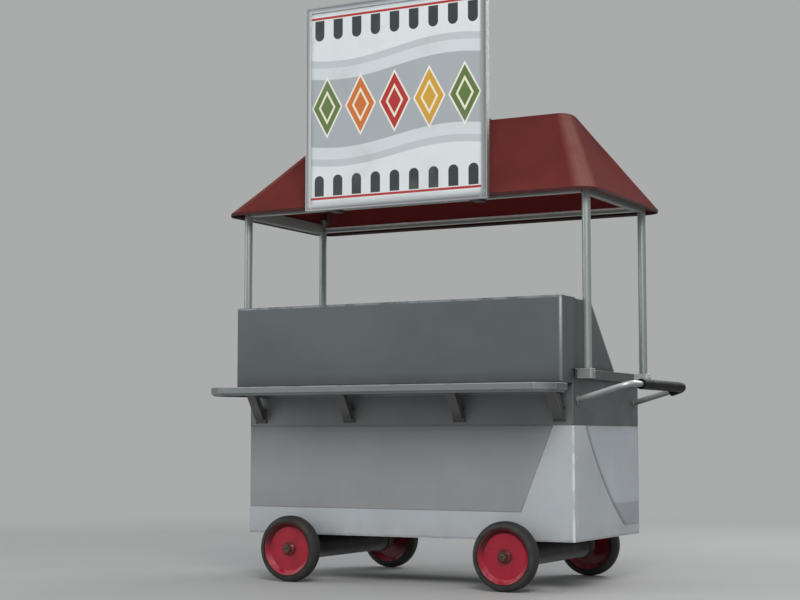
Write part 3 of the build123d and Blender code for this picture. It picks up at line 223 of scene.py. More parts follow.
class Graph(Nodes):
    """A material's nodes, with short calls for what the surfaces share."""

    def __init__(self, name):
        self.material = bpy.data.materials.new(name)
        super().__init__(self.material)
        self.shader = self.node("ShaderNodeBsdfPrincipled")
        self.out = self.node("ShaderNodeOutputMaterial")
        self.feed(self.out.inputs["Surface"], self.shader.outputs["BSDF"])
        self.place = self.node("ShaderNodeTexCoord").outputs["Object"]
        self.normal = self.node("ShaderNodeNewGeometry").outputs["Normal"]

    def times(self, *values):
        result = values[0]
        for value in values[1:]:
            result = self.math("MULTIPLY", result, value)
        return result

    def gap(self, a, b):
        """How far two values are apart."""
        return self.math("ABSOLUTE", self.math("SUBTRACT", a, b))

    def span(self, value, low, high, to_low=0.0, to_high=1.0):
        """A smooth step from one value to another."""
        made = self.node("ShaderNodeMapRange", interpolation_type="SMOOTHSTEP")
        for socket, item in zip(made.inputs, (value, low, high, to_low, to_high)):
            self.feed(socket, item)
        return made.outputs["Result"]

    def mix(self, share, a, b):
        made = self.node("ShaderNodeMix", data_type="RGBA")
        self.feed(made.inputs[0], share)
        self.feed(made.inputs[6], a)
        self.feed(made.inputs[7], b)
        return made.outputs[2]

    def vector(self, kind, a, b):
        made = self.node("ShaderNodeVectorMath", operation=kind)
        self.feed(made.inputs[0], a)
        self.feed(made.inputs[1], b)
        return made

    def stretch(self, factors, place=None):
        return self.vector("MULTIPLY", place or self.place, factors).outputs["Vector"]

    def from_point(self, point, place=None):
        """A place counted from a point."""
        return self.vector("SUBTRACT", place or self.place, tuple(point)).outputs["Vector"]

    def length(self, vector):
        made = self.node("ShaderNodeVectorMath", operation="LENGTH")
        self.feed(made.inputs[0], vector)
        return made.outputs["Value"]

    def wave(self, value, pitch):
        """A sine that comes round once in each pitch."""
        return self.math("SINE", self.times(value, 2 * math.pi / pitch))

    def split(self, kind, value):
        made = self.node(kind)
        self.feed(made.inputs[0], value)
        return made.outputs

    def axes(self, vector=None):
        return self.split("ShaderNodeSeparateXYZ", vector or self.place)

    def noise(self, scale, detail, place=None, rough=0.55):
        made = self.node("ShaderNodeTexNoise")
        self.feed(made.inputs["Vector"], place or self.place)
        made.inputs["Scale"].default_value = scale
        made.inputs["Detail"].default_value = detail
        made.inputs["Roughness"].default_value = rough
        return made.outputs["Fac"]

    def cells(self, scale):
        made = self.node("ShaderNodeTexVoronoi")
        self.feed(made.inputs["Vector"], self.place)
        made.inputs["Scale"].default_value = scale
        return self.split("ShaderNodeSeparateColor", made.outputs["Color"])[0]

    def attribute(self, name):
        return self.node("ShaderNodeAttribute", attribute_name=name).outputs["Fac"]

    def from_side(self, node, side):
        """Distance from one side of a node's box, such as "+X" or "-Z"."""
        low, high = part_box(node)
        axis = "XYZ".index(side[1])
        return self.gap(self.axes()[axis], (high if side[0] == "+" else low)[axis])

    def darken_towards(self, base, dark, places):
        """Darken a colour towards sides of nodes: (node, side, depth, share) each. Used mostly for painted
        shade.
        """
        for node, side, depth, share in places:
            near = self.span(self.from_side(node, side), depth, 0.0)
            uneven = self.span(self.noise(8, 5), 0.2, 0.7, 0.6, 1.0)
            base = self.mix(self.times(near, uneven, share), base, dark)
        return base

    def brighten_edges(self, base, bright, places):
        """Brighten a colour along edges of nodes: (node, side, other side, width, share) each. Used for
        painted highlights along edges.
        """
        for node, first, second, width, share in places:
            reach = self.math("MAXIMUM", self.from_side(node, first), self.from_side(node, second))
            patchy = self.span(self.noise(14, 6), 0.3, 0.56)
            base = self.mix(self.times(self.span(reach, width, width * 0.4), patchy, share), base, bright)
        return base

    def eased(self, width):
        """The surface's direction, eased over sharp edges."""
        bevel = self.node("ShaderNodeBevel", samples=4)
        bevel.inputs["Radius"].default_value = width
        return bevel.outputs["Normal"]

    def edges(self, width):
        """1 along sharp edges, 0 on flat faces."""
        turn = self.vector("DOT_PRODUCT", self.eased(width), self.normal)
        return self.span(turn.outputs["Value"], 0.995, 0.9)

    def bump(self, height, distance, ease=0.0015):
        """Small relief, over eased edges."""
        made = self.node("ShaderNodeBump")
        made.inputs["Distance"].default_value = distance
        self.feed(made.inputs["Height"], height)
        if ease:
            self.feed(made.inputs["Normal"], self.eased(ease))
        return made.outputs["Normal"]

    def surface(self, colour, rough, normal, metal=0.0, others=None):
        self.feed(self.shader.inputs["Base Color"], colour)
        self.feed(self.shader.inputs["Roughness"], rough)
        self.feed(self.shader.inputs["Metallic"], metal)
        self.feed(self.shader.inputs["Normal"], normal)
        for name, value in (others or {}).items():
            self.shader.inputs[name].default_value = value
        return self.material


dust_colour = srgb(122, 112, 98)


def painted(name, colour, rough=0.42, edge_colour=None, dust=0.3, bright_edges=(), darker_sides=(), marks=None):
    """Sprayed paint: orange peel, clouding, faint runs, dust low down, painted highlights along given folds,
    and sharp edges in an edge colour: paler as rubbed paint and painted highlight, or darker as a painted
    shadow line.
    """
    g = Graph(name)
    cloud = g.noise(2.2, 5)
    base = g.mix(g.span(cloud, 0.3, 0.7), shade(colour, 0.94), shade(colour, 1.05))
    runs = g.noise(1.0, 4, g.stretch((16, 16, 1.3)))
    base = g.mix(g.times(g.span(runs, 0.5, 0.8), 0.16), base, shade(colour, 0.72))
    low = g.span(g.axes()["Z"], 0.34, 0.22)
    base = g.mix(g.times(low, g.span(g.noise(7, 7), 0.3, 0.75), dust), base, dust_colour)
    if marks:
        base = marks(g, base)
    base = g.darken_towards(base, shade(colour, 0.32), darker_sides)
    base = g.brighten_edges(base, edge_colour or shade(colour, 1.25), bright_edges)
    edge_tint = g.times(g.edges(0.006), g.span(g.noise(45, 5), 0.25, 0.6), 0.8)
    base = g.mix(edge_tint, base, edge_colour or shade(colour, 1.25))
    chips = g.times(g.edges(0.008), g.span(g.noise(160, 3), 0.64, 0.69))
    base = g.mix(chips, base, srgb(92, 92, 92))
    peel = g.math("ADD", g.times(g.noise(420, 2), 0.25), g.noise(3.1, 2))
    finish = g.span(g.noise(11, 5), 0.25, 0.8, rough - 0.08, rough + 0.12)
    return g.surface(base, finish, g.bump(peel, 0.0012))


def rolled(
    name, colour, grain, rough=0.42, metal=0.5, edge=1.8, mottle=0.3, bright_edges=(), darker_sides=(), marks=None
):
    """Rolled metal sheet: grain one way, mottling, scratches, sides darkened as given, and edges tinted by
    the edge factor: brighter as wear and painted highlight, or darker as a painted shadow line.
    """
    g = Graph(name)
    lines = g.noise(1.0, 3, g.stretch(grain))
    cloud = g.noise(3.6, 7, rough=0.6)
    base = g.mix(g.times(g.span(cloud, 0.32, 0.72), mottle), shade(colour, 1.06), shade(colour, 0.66))
    base = g.mix(g.times(g.span(lines, 0.3, 0.7), 0.18), base, shade(colour, 1.3))
    wipe = g.noise(1.0, 4, g.stretch(tuple(3 if v > 10 else 0.7 for v in grain)))
    base = g.mix(g.times(g.span(wipe, 0.48, 0.75), 0.2), base, shade(colour, 1.4))
    scratch = g.span(g.noise(2.0, 2, g.stretch(tuple(v * 1.6 for v in grain))), 0.7, 0.76)
    base = g.mix(g.times(scratch, 0.3), base, shade(colour, 1.7))
    if marks:
        base = marks(g, base)
    base = g.darken_towards(base, shade(colour, 0.35), darker_sides)
    base = g.brighten_edges(base, shade(colour, edge * 1.4), bright_edges)
    sharp = g.times(g.edges(0.005), g.span(g.noise(30, 5), 0.2, 0.6))
    base = g.mix(sharp, base, shade(colour, edge))
    finish = g.math("ADD", g.span(g.noise(5, 4), 0.25, 0.8, rough - 0.03, rough + 0.05), g.times(lines, 0.06))
    return g.surface(base, finish, g.bump(lines, 0.00008), metal)


def galvanised(
    name, colour, rough=0.4, metal=0.5, cell=170, spread=0.05, bloom_share=0.25, darker_sides=(), marks=None
):
    """Zinc coated steel: small spangle, dull bloom and bright edges."""
    g = Graph(name)
    spangle = g.cells(cell)
    bloom = g.noise(6, 6)
    base = g.mix(g.span(spangle, 0.1, 0.9), shade(colour, 1 - spread), shade(colour, 1 + spread))
    base = g.mix(g.times(g.span(bloom, 0.45, 0.75), bloom_share), base, shade(colour, 0.72))
    base = g.darken_towards(base, shade(colour, 0.3), darker_sides)
    if marks:
        base = marks(g, base)
    sharp = g.times(g.edges(0.004), g.span(g.noise(60, 4), 0.3, 0.6))
    base = g.mix(sharp, base, shade(colour, 1.45))
    finish = g.math("ADD", g.span(bloom, 0.3, 0.8, rough - 0.06, rough + 0.12), g.times(spangle, 0.05))
    return g.surface(base, finish, g.bump(spangle, 0.00004), metal)


def polished(name, colour, rough=0.2, metal=1.0, darker_sides=(), marks=None):
    """Bright turned or drawn metal: smudges, dull patches and fine grain."""
    g = Graph(name)
    smudge = g.noise(14, 6)
    base = g.mix(g.times(g.span(smudge, 0.5, 0.8), 0.5), colour, shade(colour, 0.7))
    if marks:
        base = marks(g, base)
    base = g.darken_towards(base, shade(colour, 0.2), darker_sides)
    base = g.mix(g.times(g.edges(0.003), g.span(g.noise(90, 3), 0.3, 0.6)), base, shade(colour, 1.25))
    finish = g.span(smudge, 0.3, 0.8, rough - 0.06, rough + 0.2)
    return g.surface(base, finish, g.bump(g.noise(300, 3), 0.00006, 0.001), metal)


def moulded(name, colour, rough=0.5, grain=420, depth=0.00025, paler=0.2, rib=0.0, gloss=0.5):
    """Moulded plastic or rubber: fine grain or ribs, dusty film and lighter rubbed edges."""
    g = Graph(name)
    film = g.noise(8, 6)
    base = g.mix(g.times(g.span(film, 0.4, 0.8), paler), colour, dust_colour)
    base = g.mix(g.times(g.edges(0.003), 0.5), base, shade(colour, 2.2))
    relief = g.noise(grain, 3)
    if rib:
        wave = g.wave(g.axes()["Y"], rib)
        base = g.mix(g.span(wave, -0.2, -0.9), base, shade(colour, 0.45))
        relief = g.math("ADD", g.times(wave, 3.0), relief)
    finish = g.span(film, 0.3, 0.8, rough - 0.08, rough + 0.12)
    return g.surface(base, finish, g.bump(relief, depth, 0.001), others={"Specular IOR Level": gloss})


def wheel_radius(g, place):
    """Distance from a wheel's axle line."""
    hub = at(wheel_places[place], 0, axle_height)
    return g.length(g.stretch((1, 0, 1), g.from_point(hub)))


def tyre_rubber(place):
    """Charcoal rubber with brown dust on the sidewall, a scuffed tread, two moulded rings and painted shade
    where it meets the rim.
    """
    g = Graph(f"tyre_rubber_{place}")
    radius = wheel_radius(g, place)
    cloud = g.noise(9, 6)
    base = g.mix(g.span(cloud, 0.3, 0.75), srgb(40, 40, 39), srgb(54, 54, 52))
    side = g.times(g.span(radius, shoulder_radius, sidewall_head), g.span(radius, rim_radius, sidewall_foot))
    base = g.mix(g.times(side, g.span(g.noise(15, 7), 0.3, 0.7), 0.5), base, srgb(84, 78, 73))
    tread = g.times(g.span(radius, tread_edge, tread_radius), g.span(g.noise(40, 6), 0.35, 0.7), 0.4)
    base = g.mix(tread, base, srgb(74, 72, 69))
    # Painted shade: the rubber darkens into the corner next to the rim.
    rim_shade = g.span(radius, rim_radius + 0.010, rim_radius)
    base = g.mix(g.times(rim_shade, 0.85), base, srgb(18, 17, 17))
    rings = [g.span(g.gap(radius, middle), width, 0.0) for middle, width in sidewall_rings]
    relief = g.math("ADD", g.math("ADD", *rings), g.times(g.noise(140, 4), 0.3))
    finish = g.span(cloud, 0.25, 0.8, 0.62, 0.85)
    return g.surface(base, finish, g.bump(relief, 0.0011, 0.002), others={"Specular IOR Level": 0.3})


def wheel_paint(place):
    """Crimson gloss paint: grime at the hub, painted shade on the inner side and on the dish wall where it
    faces down, painted highlights on the dish wall where it faces up and along the lip.
    """
    g = Graph(f"wheel_paint_{place}")
    radius = wheel_radius(g, place)
    red = srgb(160, 11, 40)
    cloud = g.noise(12, 6)
    base = g.mix(g.span(cloud, 0.3, 0.75), shade(red, 0.86), shade(red, 1.1))
    hub = g.times(g.span(radius, hub_grime, hub_radius), g.span(g.noise(30, 6), 0.2, 0.6), 0.8)
    base = g.mix(hub, base, srgb(70, 42, 38))
    facing = g.axes(g.normal)
    inward = 1 if place.startswith("front") else -1
    # Painted shade: the faces turned in under the cart are darker.
    inner = g.span(g.times(facing["Y"], inward), 0.2, 0.7)
    base = g.mix(g.times(inner, 0.6), base, srgb(84, 30, 40))
    wall = g.span(radius, dish_radius - 0.004, dish_radius + 0.004)
    # Painted shade on the dish wall where it faces down.
    under = g.times(wall, g.span(facing["Z"], 0.1, -0.4), 0.88)
    base = g.mix(under, base, srgb(34, 9, 12))
    # Painted highlight on the dish wall where it faces up.
    paler = g.times(wall, g.span(facing["Z"], 0.1, 0.6), g.span(g.noise(24, 5), 0.3, 0.6), 0.45)
    base = g.mix(paler, base, srgb(196, 112, 120))
    # Painted highlight along the lip.
    lip = g.span(radius, rim_radius - 0.010, rim_radius - 0.004)
    edge_tint = g.times(lip, g.edges(0.004), g.span(g.noise(50, 4), 0.3, 0.6), 0.6)
    base = g.mix(edge_tint, base, srgb(198, 130, 134))
    finish = g.span(cloud, 0.25, 0.8, 0.24, 0.44)
    return g.surface(base, finish, g.bump(g.noise(240, 3), 0.0002), others={"Coat Weight": 0.18})


def canopy_fabric():
    """Coated maroon cloth: weave, rain streaks, stitched seams, a painted highlight along the rounded hips,
    and painted light on the underside, which is lighter and redder.
    """
    g = Graph("canopy_fabric")
    maroon = srgb(111, 51, 48)
    uv = g.node("ShaderNodeUVMap", uv_map="cut").outputs["UV"]
    weave = g.times(*[g.wave(g.axes(uv)[axis], weave_pitch) for axis in ("X", "Y")])
    fade = g.noise(2.6, 5)
    base = g.mix(g.span(fade, 0.3, 0.72), shade(maroon, 0.84), shade(maroon, 1.08))
    streak = g.noise(1.0, 5, g.stretch((26, 1.6, 1.0), uv))
    base = g.mix(g.times(g.span(streak, 0.5, 0.78), 0.25), base, shade(maroon, 0.62))
    base = g.mix(g.times(g.span(weave, -0.6, 0.8), 0.2), base, shade(maroon, 1.3))
    off = g.attribute("seam")
    # Painted highlight: a paler band along the rounded hips.
    bright_edges = g.times(g.span(off, 0.085, 0.012), g.span(g.noise(6, 6), 0.2, 0.65, 0.45, 1.0), 0.9)
    base = g.mix(bright_edges, base, srgb(144, 97, 89))
    line = g.span(g.gap(off, stitch_offset), 0.0011, 0.0004)
    dash = g.span(g.math("FRACT", g.times(g.attribute("along"), 1 / stitch_pitch)), 0.72, 0.62)
    base = g.mix(g.times(line, dash, 0.7), base, srgb(62, 24, 24))
    # Painted light: faces that turn down are lighter and redder than the top.
    below = g.span(g.axes(g.normal)["Z"], 0.0, -0.25)
    base = g.mix(g.times(below, 0.8), base, srgb(126, 46, 47))
    relief = g.math("ADD", g.times(weave, 0.5), g.times(g.noise(60, 3), 0.6))
    finish = g.span(fade, 0.3, 0.8, 0.8, 0.95)
    return g.surface(base, finish, g.bump(relief, 0.0004, 0.0), others={"Specular IOR Level": 0.02})


def sign_print():
    """White board printed with grey waves, a row of diamonds, bars and red lines, a little scuffed."""
    g = Graph("sign_print")
    low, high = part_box("sign_panel")
    axes = g.axes(g.from_point((Vector(low) + Vector(high)) / 2))
    x = axes["X"]
    z = axes["Z"]
    red = srgb(176, 44, 40)
    white = srgb(221, 226, 228)
    base = g.mix(g.span(g.noise(3, 4), 0.3, 0.7), shade(white, 0.95), white)
    wave = g.times(g.math("SINE", g.times(x, wave_turn)), wave_rise)
    rise = g.gap(z, wave)
    greys = (srgb(188, 194, 197), srgb(207, 213, 216), srgb(166, 172, 176))
    for half, grey in zip(wave_halves, greys):
        base = g.mix(g.span(rise, half + 0.002, half - 0.002), base, grey)
    shifted = g.math("ADD", g.math("DIVIDE", x, diamond_pitch), 0.5)
    index = g.math("FLOOR", shifted)
    inside = g.math("SUBTRACT", g.math("SUBTRACT", shifted, index), 0.5)
    across = g.math("DIVIDE", g.math("ABSOLUTE", inside), diamond_share)
    level = g.math("ABSOLUTE", z)
    upright = g.math("DIVIDE", level, diamond_half)
    reach = g.math("ADD", across, upright)
    turn = g.math("MODULO", g.math("ADD", index, 8.0), 4.0)
    paint = red
    for number, ink in enumerate((srgb(206, 158, 52), srgb(92, 118, 62), srgb(204, 112, 46))):
        paint = g.mix(g.span(turn, number + 0.4, number + 0.6), paint, ink)
    for size, ink in zip(diamond_sizes, (srgb(236, 232, 220), paint, srgb(236, 228, 206), paint)):
        base = g.mix(g.span(reach, size + 0.01, size - 0.01), base, ink)
    count = g.math("ADD", g.math("DIVIDE", x, bar_pitch), 0.5)
    stripe = g.math("SUBTRACT", g.math("FRACT", count), 0.5)
    arc = g.math("SQRT", g.math("SUBTRACT", bar_share * bar_share, g.times(stripe, stripe)))
    above_foot = g.math("ADD", level, g.times(arc, bar_pitch))
    bar = g.times(
        g.span(g.math("ABSOLUTE", stripe), bar_share + 0.005, bar_share - 0.005),
        g.span(level, bar_head + 0.002, bar_head),
        g.span(above_foot, bar_foot, bar_foot + 0.002),
    )
    base = g.mix(bar, base, srgb(52, 58, 60))
    line_half = 0.006
    base = g.mix(g.span(g.gap(level, red_line), line_half + 0.0005, line_half - 0.0005), base, red)
    base = g.mix(g.span(axes["Y"], -0.001, 0.0), base, shade(white, 0.8))
    # Painted shade on the panel next to its frame.
    borders = [("sign_panel", "-X", 0.014, 0.35), ("sign_panel", "+X", 0.026, 0.45)]
    borders += [("sign_panel", side, 0.034, 0.5) for side in ("-Z", "+Z")]
    base = g.darken_towards(base, srgb(128, 134, 138), borders)
    base = g.mix(g.times(g.span(g.noise(5, 7), 0.5, 0.85), 0.35), base, srgb(150, 148, 140))
    finish = g.span(g.noise(12, 5), 0.3, 0.8, 0.28, 0.46)
    return g.surface(base, finish, g.bump(g.noise(2.0, 2), 0.0015, 0.001))


def hem_webbing():
    """Ribbed webbing along the canopy's edge."""
    g = Graph("hem_webbing")
    cloth = srgb(66, 24, 24)
    ribs = g.wave(g.axes()["Z"], webbing_pitch)
    base = g.mix(g.span(g.noise(20, 5), 0.3, 0.7), shade(cloth, 0.75), shade(cloth, 1.25))
    base = g.mix(g.times(g.span(ribs, 0.2, 0.9), 0.35), base, shade(cloth, 1.6))
    return g.surface(base, g.span(ribs, -1, 1, 0.75, 0.9), g.bump(ribs, 0.0003, 0.0))


def bead_light_and_shade(g, base):
    """The sign frame painted as a round bead: painted light towards the panel, a painted shadow line where a
    groove would be, and a painted highlight at the outer lip.
    """
    reach = g.from_side("sign_frame", "-X")
    for side in ("+X", "-Z", "+Z"):
        reach = g.math("MINIMUM", reach, g.from_side("sign_frame", side))
    shade_line = 0.010
    duller_end = g.span(g.from_side("sign_frame", "+X"), 0.0, 0.06)
    base = g.mix(g.times(g.span(reach, shade_line, 0.035), duller_end, 0.75), base, srgb(226, 231, 233))
    base = g.mix(g.times(g.span(g.gap(reach, shade_line), 0.004, 0.001), 0.45), base, srgb(96, 96, 100))
    return g.mix(g.times(g.span(reach, 0.006, 0.003), 0.5), base, srgb(192, 190, 194))


def fascia_highlight(g, base):
    """A painted highlight on the front edge at the handle end, fading downwards."""
    reach = g.math("MAXIMUM", g.from_side("fascia_box", "+X"), g.from_side("fascia_box", "-Y"))
    fade = g.span(g.from_side("fascia_box", "+Z"), 0.34, 0.04)
    return g.mix(g.times(g.span(reach, 0.014, 0.006), fade, 0.9), base, srgb(200, 205, 205))


def rail_highlight(g, base):
    """A painted highlight along the top edges of the two long rails."""
    facing = g.axes(g.normal)
    long_side = g.span(g.math("ABSOLUTE", facing["Y"]), 0.3, 0.7)
    top = g.span(g.axes()["Z"], rail_top - 0.015, rail_top - 0.008)
    patchy = g.span(g.noise(11, 5), 0.25, 0.55, 0.55, 1.0)
    return g.mix(g.times(long_side, top, patchy), base, srgb(255, 255, 250))


def rod_light_and_shade(g, base):
    """A painted highlight on the upper side and painted shade on the under side."""
    facing = g.axes(g.normal)["Z"]
    base = g.mix(g.times(g.span(facing, 0.2, 0.75), 0.85), base, srgb(250, 250, 250))
    return g.mix(g.times(g.span(facing, 0.35, -0.5), 0.5), base, srgb(52, 52, 52))


def axle_shade(g, base):
    """Painted shade all round but underneath."""
    sooty = g.span(g.axes(g.normal)["Z"], -1.0, -0.12)
    return g.mix(g.times(sooty, 0.96), base, srgb(9, 9, 9))


def inlay_marks(g, base):
    """A soft painted shadow line inside the bowed edge of the handle end's inlay, and a darker foot."""
    axes = g.axes()
    head = at(0, *inlay_head)
    foot = at(0, *inlay_foot)
    chord = foot - head
    radius = (chord.length_squared / 4 + inlay_bow * inlay_bow) / (2 * inlay_bow)
    outward = Vector((0, chord.z, -chord.y)).normalized()
    centre = (head + foot) / 2 - outward * (radius - inlay_bow)
    reach = g.length(g.from_point((0, centre.y, centre.z), g.stretch((0, 1, 1))))
    end = g.span(axes["X"], 0.5, 0.6)
    line = g.span(g.gap(reach, radius), 0.030, 0.004)
    base = g.mix(g.times(line, end, 0.5), base, srgb(92, 95, 99))
    low = g.span(axes["Z"], inlay_band, inlay_band - 0.008)
    return g.mix(g.times(low, end, 0.42), base, srgb(112, 116, 121))


# Surfaces
along_x = (1.6, 420, 420)
along_z = (420, 420, 1.6)
# Painted highlight along the front corner at the handle end; painted shade along the bottom edge and at the
# corners.
cabinet_white = painted(
    "cabinet_white",
    srgb(177, 182, 186),
    edge_colour=srgb(228, 230, 232),
    bright_edges=[("front_panel", "+X", "-Y", 0.012, 0.85)],
    darker_sides=[
        ("front_panel", "-Z", 0.016, 0.6),
        ("front_panel", "-X", 0.012, 0.35),
        ("end_panels", "+Y", 0.012, 0.4),
    ],
)
inlay_grey = painted(
    "inlay_grey",
    srgb(144, 146, 148),
    rough=0.46,
    edge_colour=srgb(104, 106, 108),
    darker_sides=[("front_inlay", "+Z", 0.05, 0.25)],
)
# The dark edge colour is a painted shadow line along the inlay's edges.
inlay_pale = painted(
    "inlay_pale",
    srgb(180, 186, 193),
    rough=0.46,
    edge_colour=srgb(96, 100, 106),
    darker_sides=[("end_inlays", "+Z", 0.05, 0.25)],
    marks=inlay_marks,
)
door_white = painted("door_white", srgb(178, 183, 188), edge_colour=srgb(222, 224, 226))
chassis_black = painted("chassis_black", srgb(42, 43, 44), rough=0.5, edge_colour=srgb(84, 82, 78), dust=0.5)
# The pale colour is painted light on the underside; the rest is painted shade.
axle_black = painted("axle_black", srgb(146, 146, 145), rough=0.6, dust=0.12, marks=axle_shade)
# Painted shade on both ends, along the bottom edge and under the counter's edge.
apron_steel = rolled(
    "apron_steel",
    srgb(116, 121, 122),
    along_x,
    rough=0.46,
    darker_sides=[
        ("apron_panels", "-X", 0.02, 0.5),
        ("apron_panels", "+X", 0.02, 0.72),
        ("apron_panels", "-Z", 0.012, 0.4),
        ("apron_panels", "+Z", 0.14, 0.95),
    ],
)
# Painted highlights along the top front edge and the handle-end front edge; painted shade along the bottom,
# towards the left end and along the back.
fascia_steel = rolled(
    "fascia_steel",
    srgb(96, 101, 102),
    along_x,
    bright_edges=[("fascia_box", "+Z", "-Y", 0.014, 0.9), ("fascia_box", "+X", "-Y", 0.018, 0.42)],
    darker_sides=[
        ("fascia_box", "-Z", 0.07, 0.45),
        ("fascia_box", "-X", 0.7, 0.24),
        ("fascia_box", "-X", 0.007, 0.9),
        ("fascia_box", "+Y", 0.045, 0.8),
    ],
    marks=fascia_highlight,
)
# Painted shade on the ends behind the fascia and along their lower edges.
hood_steel = rolled(
    "hood_steel",
    srgb(88, 93, 94),
    along_x,
    rough=0.45,
    darker_sides=[("hood_ends", "-Y", 0.22, 1.0), ("hood_ends", "-Z", 0.035, 0.6)],
)
# An edge factor below 1 gives a painted shadow line along the edges.
counter_steel = rolled("counter_steel", srgb(88, 93, 93), along_x, metal=0.6, edge=0.3)
# Painted highlight along the top front edge; darker towards the handle end.
shelf_steel = rolled(
    "shelf_steel",
    srgb(126, 130, 130),
    along_x,
    mottle=0.25,
    bright_edges=[("serving_shelf", "+Z", "-Y", 0.006, 0.6)],
    darker_sides=[("serving_shelf", "+X", 0.065, 0.75)],
)
pan_steel = rolled("pan_steel", srgb(176, 178, 178), along_x, rough=0.3, metal=1.0, mottle=0.2)
lid_steel = rolled("lid_steel", srgb(158, 161, 162), along_z, rough=0.34, metal=0.85, mottle=0.25)
# Painted shade towards the lower ends.
bracket_steel = rolled(
    "bracket_steel",
    srgb(106, 105, 103),
    along_z,
    rough=0.48,
    edge=2.0,
    darker_sides=[("shelf_brackets", "-Z", 0.075, 0.8)],
)
post_zinc = galvanised("post_zinc", srgb(149, 159, 155))
# The rails are a lighter copy of the posts' zinc as painted light, with a painted shadow line along their
# undersides.
rail_zinc = galvanised(
    "rail_zinc",
    srgb(162, 170, 165),
    darker_sides=[("canopy_rails", "-Z", 0.003, 1.0)],
    marks=rail_highlight,
)
# The dark colour is painted shade, so the rafters and sign arms sit dark under the canopy.
rafter_zinc = galvanised("rafter_zinc", srgb(74, 64, 63), rough=0.6, bloom_share=0.5)
# Painted shade on the front sockets.
socket_alloy = galvanised(
    "socket_alloy",
    srgb(204, 208, 207),
    rough=0.42,
    metal=0.6,
    cell=260,
    darker_sides=[("post_sockets", "-Y", 0.12, 0.9)],
)
inner_zinc = galvanised("inner_zinc", srgb(126, 130, 130), rough=0.5, spread=0.1, bloom_share=0.4)
# Painted shade along the frame's outer side at the handle end; the bead is painted light and shade.
sign_alloy = rolled(
    "sign_alloy",
    srgb(148, 151, 152),
    along_z,
    rough=0.38,
    metal=0.6,
    edge=1.6,
    mottle=0.2,
    darker_sides=[("sign_frame", "+X", 0.0015, 0.6)],
    marks=bead_light_and_shade,
)
nut_bronze = polished("nut_bronze", srgb(104, 84, 66), rough=0.46)
# Painted shade towards the feet at the flanges and on the rear arm.
handle_alloy = polished(
    "handle_alloy",
    srgb(192, 195, 196),
    rough=0.48,
    metal=0.6,
    darker_sides=[
        ("push_handle", "-X", 0.09, 0.55),
        ("push_handle", "-X", 0.014, 0.8),
        ("push_handle", "+Y", 0.13, 0.7),
    ],
    marks=rod_light_and_shade,
)
bright_steel = polished("bright_steel", srgb(206, 208, 210), rough=0.2)
bolt_zinc = polished("bolt_zinc", srgb(172, 172, 168), rough=0.34)
bolt_dark = polished("bolt_dark", srgb(84, 82, 79), rough=0.45)
gas_brass = polished("gas_brass", srgb(186, 152, 84), rough=0.3)
burner_iron = moulded("burner_iron", srgb(52, 50, 48), rough=0.75, grain=260, depth=0.0005)
grip_rubber = moulded("grip_rubber", srgb(14, 15, 15), grain=520, paler=0.02, rib=0.008, gloss=0.11)
knob_plastic = moulded("knob_plastic", srgb(34, 34, 36), rough=0.42, paler=0.1)
mark_enamel = moulded("mark_enamel", srgb(214, 212, 204), rough=0.35, paler=0.15)
cylinder_shell = moulded("cylinder_shell", srgb(168, 172, 172), rough=0.4, grain=300, depth=0.0002)
sign_board = sign_print()
canopy_cloth = canopy_fabric()
webbing = hem_webbing()

surfaces = {
    cabinet_white: ["front_panel", "end_panels"],
    inlay_grey: ["front_inlay"],
    inlay_pale: ["end_inlays"],
    door_white: ["back_frame", "door_left", "door_middle", "door_gas"],
    chassis_black: ["chassis_frame", "axle_hangers"],
    axle_black: ["axles"],
    apron_steel: ["apron_panels", "back_apron"],
    fascia_steel: ["fascia_box"],
    hood_steel: ["hood_ends", "hood_top", "hood_mullions"],
    counter_steel: ["counter_top"],
    shelf_steel: ["serving_shelf"],
    pan_steel: ["food_pans", "water_tank"],
    lid_steel: ["lid_1", "lid_2", "lid_3"],
    bracket_steel: ["shelf_brackets"],
    post_zinc: ["canopy_posts"],
    rail_zinc: ["canopy_rails"],
    rafter_zinc: ["canopy_rafters", "sign_brackets"],
    socket_alloy: ["post_sockets"],
    inner_zinc: ["bulkhead", "floor_panel"],
    sign_alloy: ["sign_frame"],
    sign_board: ["sign_panel"],
    nut_bronze: ["hub_nuts"],
    handle_alloy: ["push_handle"],
    bright_steel: ["hinge_leaves", "lid_handle_1", "lid_handle_2", "lid_handle_3"]
    + ["door_pull_left", "door_pull_middle", "door_pull_gas"],
    gas_brass: ["gas_manifold", "gas_regulator"],
    burner_iron: ["burners"],
    grip_rubber: ["handle_grip"],
    knob_plastic: ["knob_1", "knob_2", "knob_3"],
    cylinder_shell: ["gas_cylinder"],
    canopy_cloth: ["canopy_cover"],
}
for place in wheel_places:
    surfaces[tyre_rubber(place)] = [f"tyre_{place}"]
    surfaces[wheel_paint(place)] = [f"wheel_disc_{place}"]
for material, names in surfaces.items():
    for name in names:
        nodes[name].data.materials.clear()
        nodes[name].data.materials.append(material)


def new_object(name, data):
    """An object in the scene."""
    made = bpy.data.objects.new(name, data)
    bpy.context.scene.collection.objects.link(made)
    return made


def to_mesh(name, bm):
    """The mesh of a shape that is built."""
    mesh = bpy.data.meshes.new(name)
    bm.to_mesh(mesh)
    bm.free()
    return mesh


def add_piece(name, mesh, material, body):
    """A new piece of the object, riding on a body."""
    mesh.materials.append(material)
    piece = new_object(name, mesh)
    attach(piece, body)
    return piece


def bridge(bm, lower, upper):
    """Faces between two rings of points."""
    count = len(lower)
    for i in range(count):
        j = (i + 1) % count
        bm.faces.new((lower[i], lower[j], upper[j], upper[i]))


